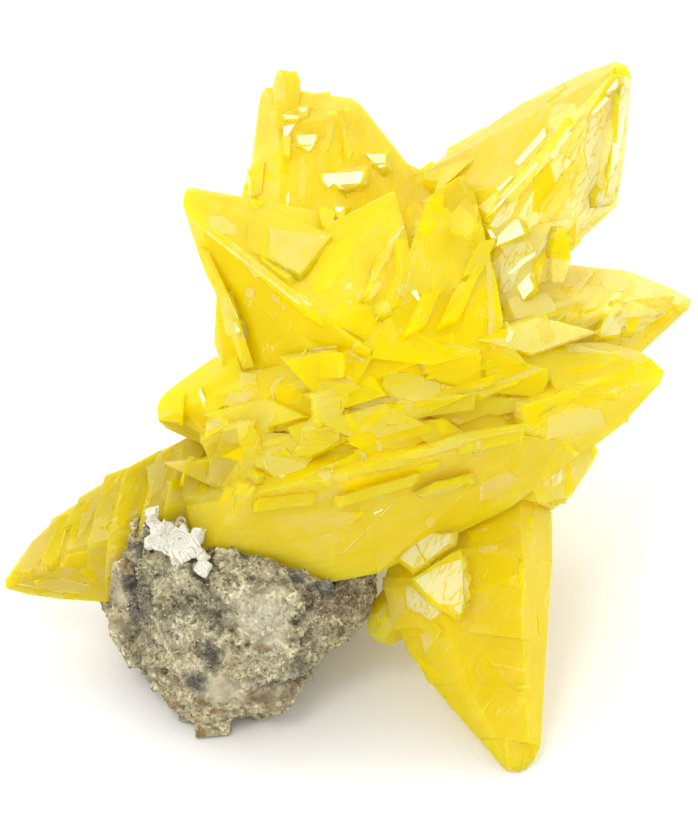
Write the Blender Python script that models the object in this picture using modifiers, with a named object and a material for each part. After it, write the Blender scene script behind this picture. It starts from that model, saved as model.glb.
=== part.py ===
"""A cluster of native sulfur crystals grown on a piece of grey matrix rock, standing on a table.

The cluster is laid out on its show face, a plane that leans back from upright. A point there is
(x, up, out) in millimetres: x to the right, up along the face, out towards whoever looks at it
square on. The point (0, 0, 0) is on the table, below the front of the rock. Crystals are convex
solids given by the corners where their faces meet, then stepped along their growth, and fused
into one solid. The rock is a rough broken lump with a flat base, cut back where crystals sit on it.
"""

import math
import random

import bmesh
import bpy
from mathutils import Matrix, Vector, noise

MM = 0.001
LEAN = math.radians(40)  # how far the show face leans back from upright
GAP = 0.3  # clearance between solids that touch, mm
TABLE = 0.0  # height of the table, mm
SPLAY = 0.02  # natural unevenness of a crystal's corners, mm
SPLAY_TURNS = 7.3  # how quickly the unevenness changes from one corner to another, per mm
WELD = 0.01  # an edge shorter than this is closed up, mm

FACE_TO_WORLD = Matrix.Rotation(-LEAN, 3, "X") @ Matrix(((1, 0, 0), (0, 0, -1), (0, 1, 0)))
WORLD_TO_FACE = FACE_TO_WORLD.inverted()

# Rock
ROCK_VOXEL = 2.4  # edge length of the rock's facets, mm
ROCK_LUMP = 8.5  # size of the rock's broken lumps, mm
ROCK_ROUGH = 2.3  # how far the lumps stand in or out, mm
ROCK_FOLDS = 0.5  # share of the roughness in sharp folds
ROCK_GRAIN = 0.28  # share of the roughness in fine grain
ROCK_SEED = 3.7

SULFUR = (0.93, 0.76, 0.05, 1.0)
ROCK_GREY = (0.46, 0.43, 0.34, 1.0)
CALCITE = (0.86, 0.85, 0.80, 1.0)


# ---------------------------------------------------------------- tools


def clear_scene():
    for obj in list(bpy.data.objects):
        bpy.data.objects.remove(obj)


def collection(name):
    made = bpy.data.collections.new(name)
    bpy.context.scene.collection.children.link(made)
    return made


def material(name, colour, roughness, transmission=0.0):
    made = bpy.data.materials.new(name)
    made.use_nodes = True
    shader = made.node_tree.nodes["Principled BSDF"]
    shader.inputs["Base Color"].default_value = colour
    shader.inputs["Roughness"].default_value = roughness
    shader.inputs["Transmission Weight"].default_value = transmission
    made.diffuse_color = colour
    return made


def splayed(corner, order):
    """The corner moved by its own small unevenness, so that no two crystals share one exactly."""
    at = Vector(corner) * SPLAY_TURNS + Vector((order, order, order)) * 0.37
    return Vector(corner) + SPLAY * noise.noise_vector(at)


def hull_of(corners):
    """A bmesh holding the convex hull of the corners, in the corners' own frame."""
    bm = bmesh.new()
    for order, corner in enumerate(corners):
        bm.verts.new(splayed(corner, order))
    made = bmesh.ops.convex_hull(bm, input=bm.verts)
    spare = {e for e in made["geom_interior"] + made["geom_unused"] if isinstance(e, bmesh.types.BMVert)}
    bmesh.ops.delete(bm, geom=list(spare), context="VERTS")
    bmesh.ops.recalc_face_normals(bm, faces=bm.faces)
    return bm


def link(name, bm, target):
    """Turns a bmesh of the show face's frame into a helper object in the row's frame, in metres."""
    for vert in bm.verts:
        vert.co = FACE_TO_WORLD @ vert.co * MM
    mesh = bpy.data.meshes.new(name)
    bm.to_mesh(mesh)
    bm.free()
    obj = bpy.data.objects.new(name, mesh)
    target.objects.link(obj)
    obj.hide_render = True
    obj.display_type = "WIRE"
    return obj


def section(bm, axis, distance):
    """Where the plane across axis at that distance cuts the hull's edges, in a settled order."""
    cut = []
    for edge in bm.edges:
        a, b = sorted((v.co for v in edge.verts), key=in_order)
        da, db = a.dot(axis) - distance, b.dot(axis) - distance
        if da * db < 0:
            cut.append(a.lerp(b, da / (da - db)))
    return sorted(cut, key=in_order)


def in_order(point):
    return tuple(round(c, 4) for c in point)


def centre_of(points):
    return sum((Vector(p) for p in points), Vector()) / len(points)


def far_point(points, way):
    return max((Vector(p) for p in points), key=lambda p: p.dot(way))


def steps(corners, root, tip, count, bite, smooth=None, tilt=(0, 0, 0), reach=(0.1, 0.92), seed=1):
    """Corner lists of the parallel-growth steps on a crystal that grew from root to tip.

    Each step narrows less than the crystal does over its length, so it ends in a ledge: bite is the
    share of the narrowing that it leaves out. The side that faces smooth has no ledges, and tilt
    leans the ledges away from square to the growth.
    """
    rng = random.Random(seed)
    bm = hull_of(corners)
    root, tip = Vector(root), Vector(tip)
    axis = ((tip - root).normalized() + Vector(tilt)).normalized()
    start, length = root.dot(axis), (tip - root).dot(axis)
    marks = [start + length * reach[0]]
    for _ in range(count):
        marks.append(marks[-1] + length * (reach[1] - reach[0]) / count * rng.uniform(0.65, 1.35))
    made = []
    for near, far in zip(marks, marks[1:]):
        here, there = section(bm, axis, near), section(bm, axis, far)
        if len(here) < 3 or len(there) < 3:
            continue
        hold = far_point(here, Vector(smooth)) if smooth else centre_of(here)
        hold_there = far_point(there, Vector(smooth)) if smooth else centre_of(there)
        narrowing = min(1.0, spread(there) / spread(here))
        kept = 1 - (1 - narrowing) * (1 - bite * rng.uniform(0.5, 1.0))
        proud = 1.0 + rng.uniform(0.004, 0.03)
        inner = [hold + (p - hold) * proud for p in here]
        outer = [hold_there + (p - hold) * kept * proud for p in here]
        made.append(inner + outer)
    bm.free()
    return made


def spread(points):
    """The mean distance of the points from their middle."""
    middle = centre_of(points)
    return sum((p - middle).length for p in points) / len(points)


def spindle(root, tip, width, thick, turn=0.0, blunt=0.12, waist=0.45):
    """Corners of a long bipyramid, the commonest sulfur form, with its point cut blunt."""
    root, tip = Vector(root), Vector(tip)
    axis = (tip - root).normalized()
    side = axis.orthogonal().normalized()
    side.rotate(Matrix.Rotation(math.radians(turn), 3, axis))
    front = axis.cross(side)
    corners = []
    for along, size in ((0.0, 0.55), (waist, 1.0), (1.0, blunt)):
        middle = root.lerp(tip, along)
        for a, b in ((1, 0), (0, 1), (-1, 0), (0, -1)):
            corners.append(middle + size * (a * side * width / 2 + b * front * thick / 2))
    return corners


def blade_chip(centre, along, length, width, thick, roll=0.0, skew=0.2, point=0.3):
    """Corners of a flat slab that runs along a direction and ends in a slanted edge or a point."""
    centre, along = Vector(centre), Vector(along).normalized()
    across = Vector((0, 0, 1)).cross(along).normalized()
    out = along.cross(across)
    turn = Matrix.Rotation(math.radians(roll), 3, along)
    across, out = turn @ across, turn @ out
    corners = []
    for end in (-1, 1):
        for a in (-1, 1):
            for b, size in ((-1, 1.0), (1, 0.8)):
                reach = end * size * (1 - point * (a * end > 0)) + skew * a
                corners.append(
                    centre + along * length / 2 * reach + across * a * width / 2 * size + out * b * thick / 2
                )
    return corners


def tread(left, up, out, width, depth, drop=1.6):
    """Corners of a little ledge whose flat top faces up, so that it catches the light.

    left, up and out place the left end of the ledge's back edge.
    """
    back, front = Vector((0, 0.79, -0.61)), Vector((0, -0.79, 0.61))
    a = Vector((left, up, out))
    b = a + Vector((width, 0.12 * width, 0))
    c = a + Vector((width * 0.84, 0.1 * width, 0)) + front * depth
    d = a + Vector((width * 0.22, 0.0, 0)) + front * depth * 0.85
    below = Vector((0, -drop, -drop))
    return [a + back, b + back, b, c, d, a, c + below, d + below, a + below * 2 + back, b + below * 2 + back]


# ---------------------------------------------------------------- crystals
# Each function returns corner lists (x, up, out) in millimetres on the show face.

BLADE_WAY = (0.958, 0.287, 0.0)  # the way the long blades run
LEDGE_SLOPE = 0.17  # rise of a row of slabs across the show face
LEDGE_MIDDLE = 7.0  # where the slabs lie square to the show face
CALCITE_ROWS = (4, 4, 3)  # clear blocks in each row of the crust


def front_blade():
    """The long dull blade that crosses the front, with its ridge above and its foot on the rock."""
    corners = [
        (-21.4, 25.9, 6), (-2.9, 22.7, 8), (4.0, 24.0, 8), (7.1, 26.6, 8), (11.3, 29.9, 8), (18.6, 32.1, 7),
        (23.0, 33.4, 6.5), (28.9, 39.3, 5), (32.1, 41.1, 4), (34.4, 42.2, 4),
        (-28.6, 34.4, 1), (-14.0, 35.2, 15), (0.0, 38.4, 18), (10.1, 41.6, 18.5), (25.0, 43.6, 15),
        (-20.0, 41.0, 5), (20.0, 47.0, 8), (-20.0, 33.0, -8), (15.0, 40.0, -8), (30.0, 44.0, -4),
    ]
    head = [
        (42.9, 54.5, 6), (44.8, 52.8, 6), (44.2, 51.0, 5), (38.6, 45.0, 5), (37.2, 44.6, 5),
        (35.0, 42.2, 4),
        (32.6, 41.6, 5), (25.2, 43.8, 14.6), (24.0, 47.5, 15), (34.0, 50.8, 11.5), (22.0, 52.0, 7),
        (38.0, 54.0, 3),
        (30.0, 48.0, -3), (18.0, 44.0, 2),
    ]
    lines = [
        blade_chip((4.0, 36.0, 16.2), BLADE_WAY, 16, 1.7, 2.0, 12),
        blade_chip((14.0, 36.6, 14.2), BLADE_WAY, 9, 1.3, 2.0, -14),
        blade_chip((-9.0, 34.4, 14.6), (0.99, 0.12, 0.1), 12, 2.2, 2.0, 10),
        blade_chip((20.0, 42.8, 15.4), (0.97, 0.22, -0.18), 13, 2.0, 2.2, 6),
    ]
    return [corners, head] + lines


def upper_blade():
    """The blade behind the front one, whose flat top steps up to the standing crystals."""
    corners = [
        (-15.5, 52.6, 6), (-3.0, 55.0, 13.5), (6.0, 55.4, 16.0), (12.0, 54.4, 16.5), (22.0, 56.0, 12),
        (36.0, 57.0, 3.5), (41.4, 55.6, 3.5), (43.6, 54.2, 5), (-19.0, 43.0, 9), (0.0, 45.6, 15.6),
        (20.0, 49.6, 14.5), (33.0, 52.4, 9.5), (-12.0, 46.0, -8), (20.0, 52.0, -8), (34.0, 52.0, -5),
    ]
    bump = [
        (-6.5, 54.5, 10), (-4.8, 57.4, 11), (-0.6, 57.3, 14), (3.4, 55.0, 18.2), (1.0, 51.0, 17.4),
        (-8.0, 50.0, 12.6),
        (-4.0, 52.0, 4),
    ]
    web = [
        (-20.0, 37.0, 7), (-19.0, 44.0, 7), (0.0, 40.0, 14.6), (0.0, 46.6, 14.4), (22.0, 43.0, 13.6),
        (22.0, 50.0, 12.6),
        (30.0, 48.0, 8), (-16.0, 40.0, -10), (18.0, 46.0, -10),
    ]
    return [corners, bump, web]


def left_wing():
    """The wing that points left, a stack of slanting plates that step down to its tip."""
    corners = [
        (-49.4, 22.9, -8), (-49.3, 21.7, -8), (-46.0, 20.8, -7), (-41.4, 20.2, -5), (-35.0, 19.8, -3),
        (-45.4, 28.6, -9), (-41.0, 32.2, -8), (-35.0, 36.6, -7), (-28.5, 40.8, -5), (-22.5, 43.6, -3),
        (-16.0, 40.0, 2), (-42.0, 24.0, -4), (-38.0, 27.6, -3), (-28.0, 32.0, 2), (-20.0, 35.0, 7),
        (-36.0, 27.0, -14), (-22.0, 34.0, -15), (-18.0, 24.0, -6),
    ]
    plates = steps(
        corners, (-18, 36, -3), (-49.4, 22.4, -8), 7, 0.36, (0.2, -1, -0.3), (0.1, 0.5, 0),
        (0.1, 0.9), seed=11
    )
    return [corners] + plates


def horn():
    """The bipyramid that points up and left, with the dark three-sided face below its ridge."""
    corners = [
        (-22.6, 79.0, 3), (-23.5, 78.6, 4), (-23.8, 76.4, 5), (-21.6, 69.6, 6), (-20.6, 66.8, 5.6),
        (-18.6, 66.0, 6),
        (-14.6, 77.3, 0), (-0.5, 75.0, 2), (8.0, 68.0, 6),
        (-21.2, 73.4, 9), (-4.6, 60.6, 16.6), (2.9, 55.6, 18.4), (-13.8, 52.8, 6.5), (4.0, 50.0, 12),
        (-13.0, 66.0, -11), (4.0, 62.0, -11),
    ]
    rail = [
        (-21.0, 73.0, 9.6), (-20.4, 73.9, 9.0), (-5.0, 62.0, 16.6), (-3.2, 58.8, 18.2),
        (-6.0, 60.6, 17.0), (-8, 60, 8),
        (-18, 70, 6),
    ]
    pale_plate = [
        (-14.6, 73.6, 7.4), (-11.0, 75.6, 5.2), (-2.4, 72.2, 8.4), (-7.2, 66.4, 13.2), (-14.8, 70.2, 10.2),
        (-9, 70, 0), (-5, 68, 4),
    ]
    left_rim = [
        (-21.4, 70.6, 8.0), (-20.2, 70.0, 8.6), (-16.2, 61.4, 9.8), (-13.6, 53.4, 8.2), (-15.2, 53.0, 6.4),
        (-18.4, 62.0, 6.8), (-15, 60, 2), (-18, 68, 2),
    ]
    return [corners, rail, pale_plate, left_rim]


def crown():
    """The peaks in front of the tower, side by side, with slanting growth lines between them."""
    right_peak = [
        (16.2, 80.7, 4.8), (15.4, 80.5, 5.2), (11.2, 77.6, 8.0), (17.8, 78.3, 5.4), (19.3, 72.0, 8),
        (20.8, 65.6, 10.5),
        (21.8, 60.0, 12.6), (22.0, 56.4, 13.2), (12.0, 53.6, 18.6), (3.0, 54.6, 18.6), (5.0, 60.0, 17.0),
        (10.4, 72.6, 10.4), (10, 68, -8), (20, 62, -8), (18, 54, -4), (11, 74, -2),
    ]
    left_peak = [
        (6.5, 78.4, 5.0), (5.6, 78.2, 4.8), (8.3, 71.5, 10.0), (5.2, 62.0, 16.0), (2.4, 57.0, 18.0),
        (-3.8, 60.4, 16.2),
        (-5.6, 66.0, 12.0), (-3.4, 73.6, 6.0), (0.0, 66, -6), (8, 66, -6), (6, 75, 0),
    ]
    flutes = []
    for x, up, out, length in (
        (4.4, 67.0, 11.8, 17), (6.8, 64.6, 13.6, 18), (9.2, 67.0, 11.6, 16), (10.2, 61.0, 15.2, 13),
        (13.4, 69.4, 9.4, 13), (15.2, 62.4, 13.6, 14), (18.2, 68.6, 9.2, 12),
    ):
        flutes.append(blade_chip((x, up, out), (0.40, 0.90, -0.60), length, 2.6, 2.2, 10, 0.1, 0.7))
    ell = blade_chip((17.0, 74.6, 6.6), (0.05, 1.0, -0.60), 4.4, 2.6, 2.2, 8, 0.0, 0.2)
    return [right_peak, left_peak, ell] + flutes


def tower():
    """The blocky crystal at the back left, with a small post on its top corner."""
    corners = [
        (-14.8, 77.9, -9), (-14.0, 84.4, -10), (-13.2, 90.0, -10), (-12.8, 92.4, -10), (-12.0, 93.6, -10),
        (-7.0, 93.0, -8), (-4.6, 92.2, -6.6), (0.3, 91.9, -6), (1.4, 91.2, -5.4), (3.7, 87.4, -4.4),
        (5.8, 84.4, -4),
        (9.2, 81.4, -4), (10.0, 70.0, 1), (-14.6, 73.0, -4), (-10.2, 88.0, -3.6), (-10.0, 74.0, 1.6),
        (-2.0, 89.0, -1.8), (-2.0, 74.0, 3), (4.0, 76.0, 0),
        (-12.0, 84.0, -20), (2.0, 84.0, -20), (7.0, 72.0, -20), (-12.0, 70.0, -18),
    ]
    post = [
        (-10.3, 96.1, -9.0), (-9.9, 95.9, -7.6), (-7.6, 95.8, -8), (-7.0, 94.4, -7.6), (-7.1, 92.6, -6.6),
        (-8.0, 87.0, -2.8), (-10.6, 87.6, -2.8), (-11.0, 92.4, -6.4), (-11.1, 93.8, -9.6),
        (-10.6, 93.0, -13),
        (-7.4, 92.6, -12),
    ]
    left_ledge = blade_chip((-12.6, 80.0, -5.0), (0.06, 1, -0.2), 6.0, 2.6, 2.6, -34, 0.0, 0.1)
    saddle = [
        (5.0, 84.0, -6), (9.6, 81.0, -5), (14.0, 80.0, -5), (4.0, 74.0, 1), (16.0, 72.0, 1),
        (8.0, 74.0, -14),
        (12.0, 68.0, 3),
    ]
    treads = [
        tread(-5.4, 91.8, -6.0, 2.6, 1.6), tread(-7.4, 89.9, -3.6, 1.6, 1.0),
        tread(-9.2, 89.2, -3.4, 2.2, 0.8),
        tread(-7.8, 86.6, -2.2, 3.4, 2.4), tread(2.4, 83.6, -1.8, 3.2, 1.9), tread(-3.6, 80.8, 0.8, 6.2, 2.0),
        tread(-4.4, 75.4, 4.4, 2.4, 2.8), tread(-2.2, 75.6, 4.2, 1.6, 1.4), tread(-9.6, 85.6, -2.0, 1.2, 2.6),
    ]
    return [corners, post, saddle, left_ledge] + treads


def clear_blade():
    """The clear blade at the upper right, with a ridge from its tip and a sunk-looking front."""
    corners = [
        (37.9, 97.0, 3), (39.5, 96.4, 4), (40.2, 94.6, 4), (39.4, 85.0, 3), (38.3, 76.6, 2),
        (34.9, 74.6, 1),
        (37.0, 95.4, 7), (21.6, 79.0, 7.5), (19.6, 75.2, 7.5), (21.2, 70.7, 7), (28.0, 73.6, 5),
        (9.0, 80.4, -6), (19.0, 87.2, -8), (24.2, 91.0, -7), (33.6, 95.6, -3),
        (18.0, 76.0, -14), (32.0, 84.0, -11), (31.0, 71.0, -8), (14.0, 70.0, -6), (27.0, 66.0, 0),
    ]
    top_edge = [
        (14.0, 84.8, -7.6), (19.4, 87.9, -7.8), (21.0, 86.0, -1.0), (12.0, 78.0, 2.0), (16, 80, -12),
        (14, 82, -4),
    ]
    rim = [
        (37.3, 95.2, 8.2), (38.8, 94.8, 6.4), (23.0, 76.6, 9.0), (21.0, 77.4, 8.8), (34.0, 90.0, 2),
        (26, 80, 2),
    ]
    wall = [
        (38.9, 93.5, 6.4), (39.7, 93.0, 4.6), (37.7, 77.2, 3.8), (35.2, 76.0, 4.0), (36.6, 84.0, 6.0),
        (34, 84, 0),
    ]
    gem = [
        (32.6, 90.4, 7.8), (35.0, 91.4, 7.0), (31.2, 83.2, 7.6), (28.6, 84.8, 8.2), (31, 88, 1),
        (30, 84, 1),
    ]
    chunk = [
        (33.6, 73.2, 0), (33.0, 71.2, 0), (30.9, 69.7, 0), (29.4, 68.2, 1), (22.0, 66.0, 4),
        (21.4, 72.6, 6.0),
        (28.6, 74.0, 5.8), (32.6, 74.8, 3.6), (24.0, 70.0, -8), (30.0, 71.0, -7), (24.0, 62.0, 6),
        (18, 60, 6),
        (17.0, 70.0, 4), (18.0, 74.0, 2),
    ]
    pillar = spindle((29.4, 65.6, 3.6), (30.0, 73.4, 5.4), 4.2, 4.0, 20, 0.45)
    return [corners, top_edge, rim, wall, gem, chunk, pillar]


def right_crystal():
    """The flattened crystal that points right, above the blades."""
    corners = [
        (48.9, 63.2, -6), (48.7, 61.9, -6), (45.6, 65.0, -8), (40.0, 67.2, -9), (29.0, 68.4, -8),
        (20.0, 66.0, -2),
        (45.7, 59.4, -6), (41.4, 55.2, -4), (24.0, 54.0, 4), (45.6, 62.0, -2.4), (36.0, 61.4, 4.0),
        (21.0, 60.0, 8.5),
        (24.0, 60.0, -15), (38.0, 61.0, -13),
    ]
    grooves = []
    for k in range(3):  # sharp rims that run back from the tip
        slide = 1.5 * k
        grooves.append([
            (46.6 - slide, 63.6 - 0.2 * k, -3.6 + 0.5 * k), (45.0 - slide, 61.0 - 1.1 * k, -1.8 + 0.9 * k),
            (38.0 - slide, 60.2 - 1.4 * k, 3.0 + 0.6 * k), (40.0 - slide, 63.0 - 0.8 * k, 1.2 + 0.7 * k),
            (40.0 - slide, 61.5 - k, -3.0),
        ])
    return [corners] + grooves


def lower_right_crystals():
    """The spike that reaches down to the table, and the small crystals around its root."""
    spike = [
        (28.9, 32.6, -1), (28.9, 25.9, 0), (28.2, 17.3, 1.4), (27.6, 7.3, 3.3), (27.2, -0.6, 4.4),
        (26.4, -2.4, 4.5),
        (24.9, -4.2, 4.7), (24.0, -4.6, 4.9), (22.9, -3.9, 4.7), (20.7, -1.9, 4.4), (14.6, 4.6, 4),
        (10.8, 9.8, 3.6),
        (8.2, 13.0, 3), (6.2, 18.3, 2), (4.6, 22.2, 2), (8.0, 32.0, 2), (24.0, 38.0, 3), (27.0, 36.0, 2),
        (24.6, 24.0, 8.6), (24.8, 6.0, 8.4), (22.4, 0.0, 7.0), (12.5, 20.0, 9.0), (17.0, 8.0, 8.4),
        (14.0, 26.0, -6), (26.0, 26.0, -7), (22.0, 8.0, -0.5), (16.0, 12.0, -2.5),
    ]
    layers = steps(
        spike, (20, 30, 3), (24, -4.3, 5), 4, 0.28, (1, 0, -0.2), (-0.25, 0.0, 0.1), (0.25, 0.9), seed=23
    )
    heel = [
        (34.8, 42.4, 2), (35.5, 41.4, 1), (34.9, 39.8, 0), (33.6, 38.2, 0), (31.0, 34.8, 0),
        (29.0, 33.0, 0),
        (22.0, 35.0, 4), (26.0, 42.0, 4), (31.6, 42.0, 4.4), (31.4, 34.8, 3.8), (27.0, 34.0, 5.4),
        (25.8, 36.4, 6.2),
        (28.0, 40.0, -10), (25.0, 33.0, -8),
    ]
    window_high = [
        (6.9, 26.5, 8.6), (8.6, 28.0, 8.6), (11.4, 30.0, 9.0), (14.6, 29.8, 9.4), (14.2, 28.2, 10.2),
        (9.4, 24.3, 10.0), (8, 26, 2), (13, 29, 2), (12, 24, 2),
    ]
    window_low = [
        (9.0, 23.3, 10.2), (15.8, 27.6, 10.6), (17.2, 20.6, 11.2), (15.2, 17.4, 10.2), (11.2, 19.8, 10.2),
        (12, 22, 2), (15, 24, 2), (14, 18, 3),
    ]
    bud = spindle((9.0, 24.0, -3), (4.2, 14.4, -0.5), 8.2, 7.2, 30, 0.5, 0.75)
    return [spike, heel, window_high, window_low, bud] + layers


def nub():
    """The blunt crystal that points left, below the horn, and the pale plate behind it."""
    corners = [
        (-27.6, 47.6, -2), (-27.4, 45.8, -2), (-27.0, 49.0, -2), (-25.6, 50.4, -2), (-23.6, 51.8, -2.5),
        (-19.3, 54.9, -3), (-14.0, 54.0, 1), (-26.2, 44.6, -2), (-23.6, 43.9, -1), (-19.3, 44.4, 0),
        (-13.0, 45.0, 3),
        (-24.0, 47.4, 2.2), (-18.0, 49.6, 6), (-13.0, 51.0, 9), (-20.0, 50.0, -10), (-14.0, 48.0, -10),
        (-20.0, 42.0, 0), (-16.0, 40.0, 4), (-18.0, 42.0, -8),
    ]
    plate = [
        (-19.0, 64.1, 1), (-18.8, 60.0, 1), (-19.4, 56.8, 0), (-18.0, 53.0, 0), (-12.0, 53.0, 3),
        (-12.0, 65.0, 3),
        (-16.0, 60.0, -8),
    ]
    spark = tread(-24.6, 48.8, 1.8, 1.0, 3.0)
    return [corners, plate, spark]


def ledges():
    """The jumble of parallel slabs between the ridge of the front blade and the crown."""
    rng = random.Random(7)
    made = []
    rows = (  # height where x is 0, depth, left end, right end, slabs
        (42.0, 14.2, -21.0, 16.0, 4), (45.4, 14.4, -20.0, 30.0, 6), (49.2, 14.8, -15.0, 33.0, 6),
        (53.0, 15.2, -10.0, 33.0, 5), (54.4, 8.8, 20.0, 38.0, 2),
    )
    for up_at_zero, out, left, right, count in rows:
        for k in range(count):
            x = left + (right - left) * (k + rng.uniform(0.1, 0.9)) / count
            up = up_at_zero + LEDGE_SLOPE * x + rng.uniform(-1.0, 1.0)
            centre = (x, up, out - ledge_fall(x) + rng.uniform(-0.9, 0.7))
            way = Vector(BLADE_WAY) + Vector((0, rng.uniform(-0.2, 0.14), -0.02 * (x - LEDGE_MIDDLE)))
            size = (rng.uniform(10, 22), rng.uniform(4.0, 7.5), rng.uniform(2.6, 4.2))
            made.append(blade_chip(
                centre, way, *size, rng.uniform(-16, 8), rng.uniform(-0.3, 0.3), rng.uniform(0.3, 0.8),
            ))
    return made


def ledge_fall(x):
    """How far the slabs' tops fall back towards either end of the blades."""
    return 0.38 * max(0.0, x - 13.0) + 0.36 * max(0.0, -x - 2.0)


def back_crystals():
    """The crystals on the far side. One of them reaches down to the table and props the cluster."""
    root = WORLD_TO_FACE @ Vector((4, 34, 30))
    tips = (  # tip in the world, width, thickness, turn about the axis, bluntness
        ((21, 63, TABLE + 0.2), 19, 15, 10, 0.12),
        ((-4, 76, 34), 20, 13, 40, 0.10),
        ((26, 72, 28), 22, 15, 25, 0.12),
        ((-24, 57, 17), 17, 12, 70, 0.12),
        ((40, 48, 20), 17, 12, 15, 0.12),
        ((6, 70, 14), 16, 12, 55, 0.14),
    )
    made = []
    for seed, (tip, width, thick, turn, blunt) in enumerate(tips, start=40):
        end = WORLD_TO_FACE @ Vector(tip)
        corners = spindle(root, end, width, thick, turn, blunt)
        made.append(corners)
        made += steps(corners, root, end, 2, 0.45, None, (0.15, 0.1, 0), (0.55, 0.92), seed)
    return made


def heart():
    """The solid middle that all the crystals share."""
    return [spindle((-4, 40, -8), (6, 76, -10), 34, 22, 0, 0.6, 0.4)]


def crystal_corners():
    groups = (
        front_blade, upper_blade, left_wing, horn, crown, tower, clear_blade,
        right_crystal, lower_right_crystals, nub, ledges, back_crystals,
    )
    return {group.__name__: group() for group in groups}


# The crystals that meet the rock.
SEAT_GROUPS = ("front_blade", "upper_blade", "left_wing", "lower_right_crystals", "nub", "back_crystals")


# ---------------------------------------------------------------- matrix


def swollen(corners, by):
    """The corners of the same convex solid, standing off by at least that much on every face."""
    reach = by * math.sqrt(3)
    ways = [Vector(w) * reach for w in ((1, 0, 0), (-1, 0, 0), (0, 1, 0), (0, -1, 0), (0, 0, 1),
    (0, 0, -1))]
    return [Vector(c) + way for c in corners for way in ways]


def rock_lumps():
    """Corner lists of the rock's main masses."""
    body = [
        (-35.4, 27.8, -1), (-33.0, 30.8, 2), (-29.0, 33.6, 5), (-21.0, 29.6, 9), (-10.0, 26.4, 11),
        (-1.4, 25.0, 10), (4.0, 24.2, 6), (4.6, 21.4, 4), (3.6, 18.6, 3), (1.6, 15.4, 2),
        (-22.0, 22.0, 10), (-12.0, 20.0, 13), (-19.0, 12.0, 12), (-9.0, 12.0, 11.5), (-25.0, 14.0, 7),
        (-26.4, 3.0, 0), (-23.4, 2.0, 1.4), (-17.0, 2.4, 2.6), (-12.6, 2.8, 3), (-10.0, 3.8, 2.4),
        (-7.2, 7.0, 0),
        (-5.0, 10.4, -3), (-29.0, 8.0, -5), (-31.6, 11.4, -9), (-34.4, 15.2, -13), (-23.0, 1.6, -3.5),
        (-11.0, 3.2, -5.4),
        (-30.0, 27.0, -32), (-16.0, 34.0, -44), (2.0, 32.0, -42), (4.0, 22.0, -24), (0.0, 40.0, -30),
        (-24.0, 42.0, -28),
    ]
    slab = [
        (-37.0, 26.0, -1), (-36.6, 20.6, -4), (-35.4, 16.0, -11), (-31.0, 29.4, 5), (-28.6, 24.6, 8.6),
        (-28.0, 16.0, 5.4), (-30.2, 9.0, 0), (-27.4, 11.0, 4), (-28.0, 22.0, -14), (-26.0, 14.0, -12),
    ]
    keel = [
        (-14.0, 10.0, 9.4), (-1.6, 13.4, 5.0), (-6.4, 8.0, 2.6), (-10.6, 4.6, 4.0), (-14.6, 5.0, 6.4),
        (-7.0, 14.0, 10.2),
        (-9.0, 11.0, -6.0),
    ]
    return [body, slab, keel]


def rock_stub():
    """The square-ended stub below the rock's front."""
    return [
        (-22.8, 2.6, 1.6), (-22.2, 0.1, -0.1), (-16.7, 0.9, -0.7), (-16.6, 4.4, 1.6),
        (-17.4, 6.4, 3.4), (-21.6, 5.8, 3.4),
        (-22.0, 4.0, -6.0), (-17.0, 4.6, -6.0),
    ]


def rough(point, size, depth):
    """How far a broken face stands in or out at a point."""
    at = point / size + Vector((ROCK_SEED, ROCK_SEED * 0.7, -ROCK_SEED))
    folds = noise.ridged_multi_fractal(at, 1.0, 2.1, 3, 0.9, 2.0, noise_basis="PERLIN_ORIGINAL")
    grain = noise.noise(at * 4.1)
    return depth * (ROCK_FOLDS * (folds - 1.2) + ROCK_GRAIN * grain)


def raw_rock(helpers):
    """The rough lump, with its stub, before anything is cut from it."""
    lumps = [link(f"rock_lump_{k}", hull_of(c), helpers) for k, c in enumerate(rock_lumps())]
    lump = lumps[0]
    for other in lumps[1:]:
        boolean(lump, other, "UNION")
    remesh = lump.modifiers.new("even_facets", "REMESH")
    remesh.mode = "VOXEL"
    remesh.voxel_size = ROCK_VOXEL * MM
    bm = evaluated(lump)
    bm.normal_update()
    shifts = {v: v.normal * rough(v.co / MM, ROCK_LUMP, ROCK_ROUGH) * MM for v in bm.verts}
    for vert, shift in shifts.items():
        vert.co += shift
    bmesh.ops.triangulate(bm, faces=bm.faces)
    rock = in_place("raw_rock", bm, helpers)
    boolean(rock, link("rock_stub", hull_of(rock_stub()), helpers), "UNION")
    return rock


def evaluated(obj):
    """A new bmesh of the object as its modifiers leave it, in the row's frame."""
    bpy.context.view_layer.update()
    bm = bmesh.new()
    seen = obj.evaluated_get(bpy.context.evaluated_depsgraph_get())
    bm.from_mesh(seen.to_mesh())
    seen.to_mesh_clear()
    return bm


def boolean(obj, other, operation, solver="EXACT"):
    """A Boolean with another object, or with every object of a collection."""
    cut = obj.modifiers.new(f"{operation.lower()}_{other.name}", "BOOLEAN")
    cut.operation = operation
    cut.solver = solver
    if isinstance(other, bpy.types.Collection):
        cut.operand_type = "COLLECTION"
        cut.collection = other
    else:
        cut.object = other


def cut_flat(bm):
    """Cuts off what is below the table and closes the cut."""
    cut = bmesh.ops.bisect_plane(
        bm, geom=bm.verts[:] + bm.edges[:] + bm.faces[:], plane_co=(0, 0, TABLE * MM), plane_no=(0, 0, -1),
        clear_outer=True,
    )
    rim = [e for e in cut["geom_cut"] if isinstance(e, bmesh.types.BMEdge)]
    bmesh.ops.edgeloop_fill(bm, edges=rim)
    bmesh.ops.triangulate(bm, faces=bm.faces)
    bmesh.ops.recalc_face_normals(bm, faces=bm.faces)


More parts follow.
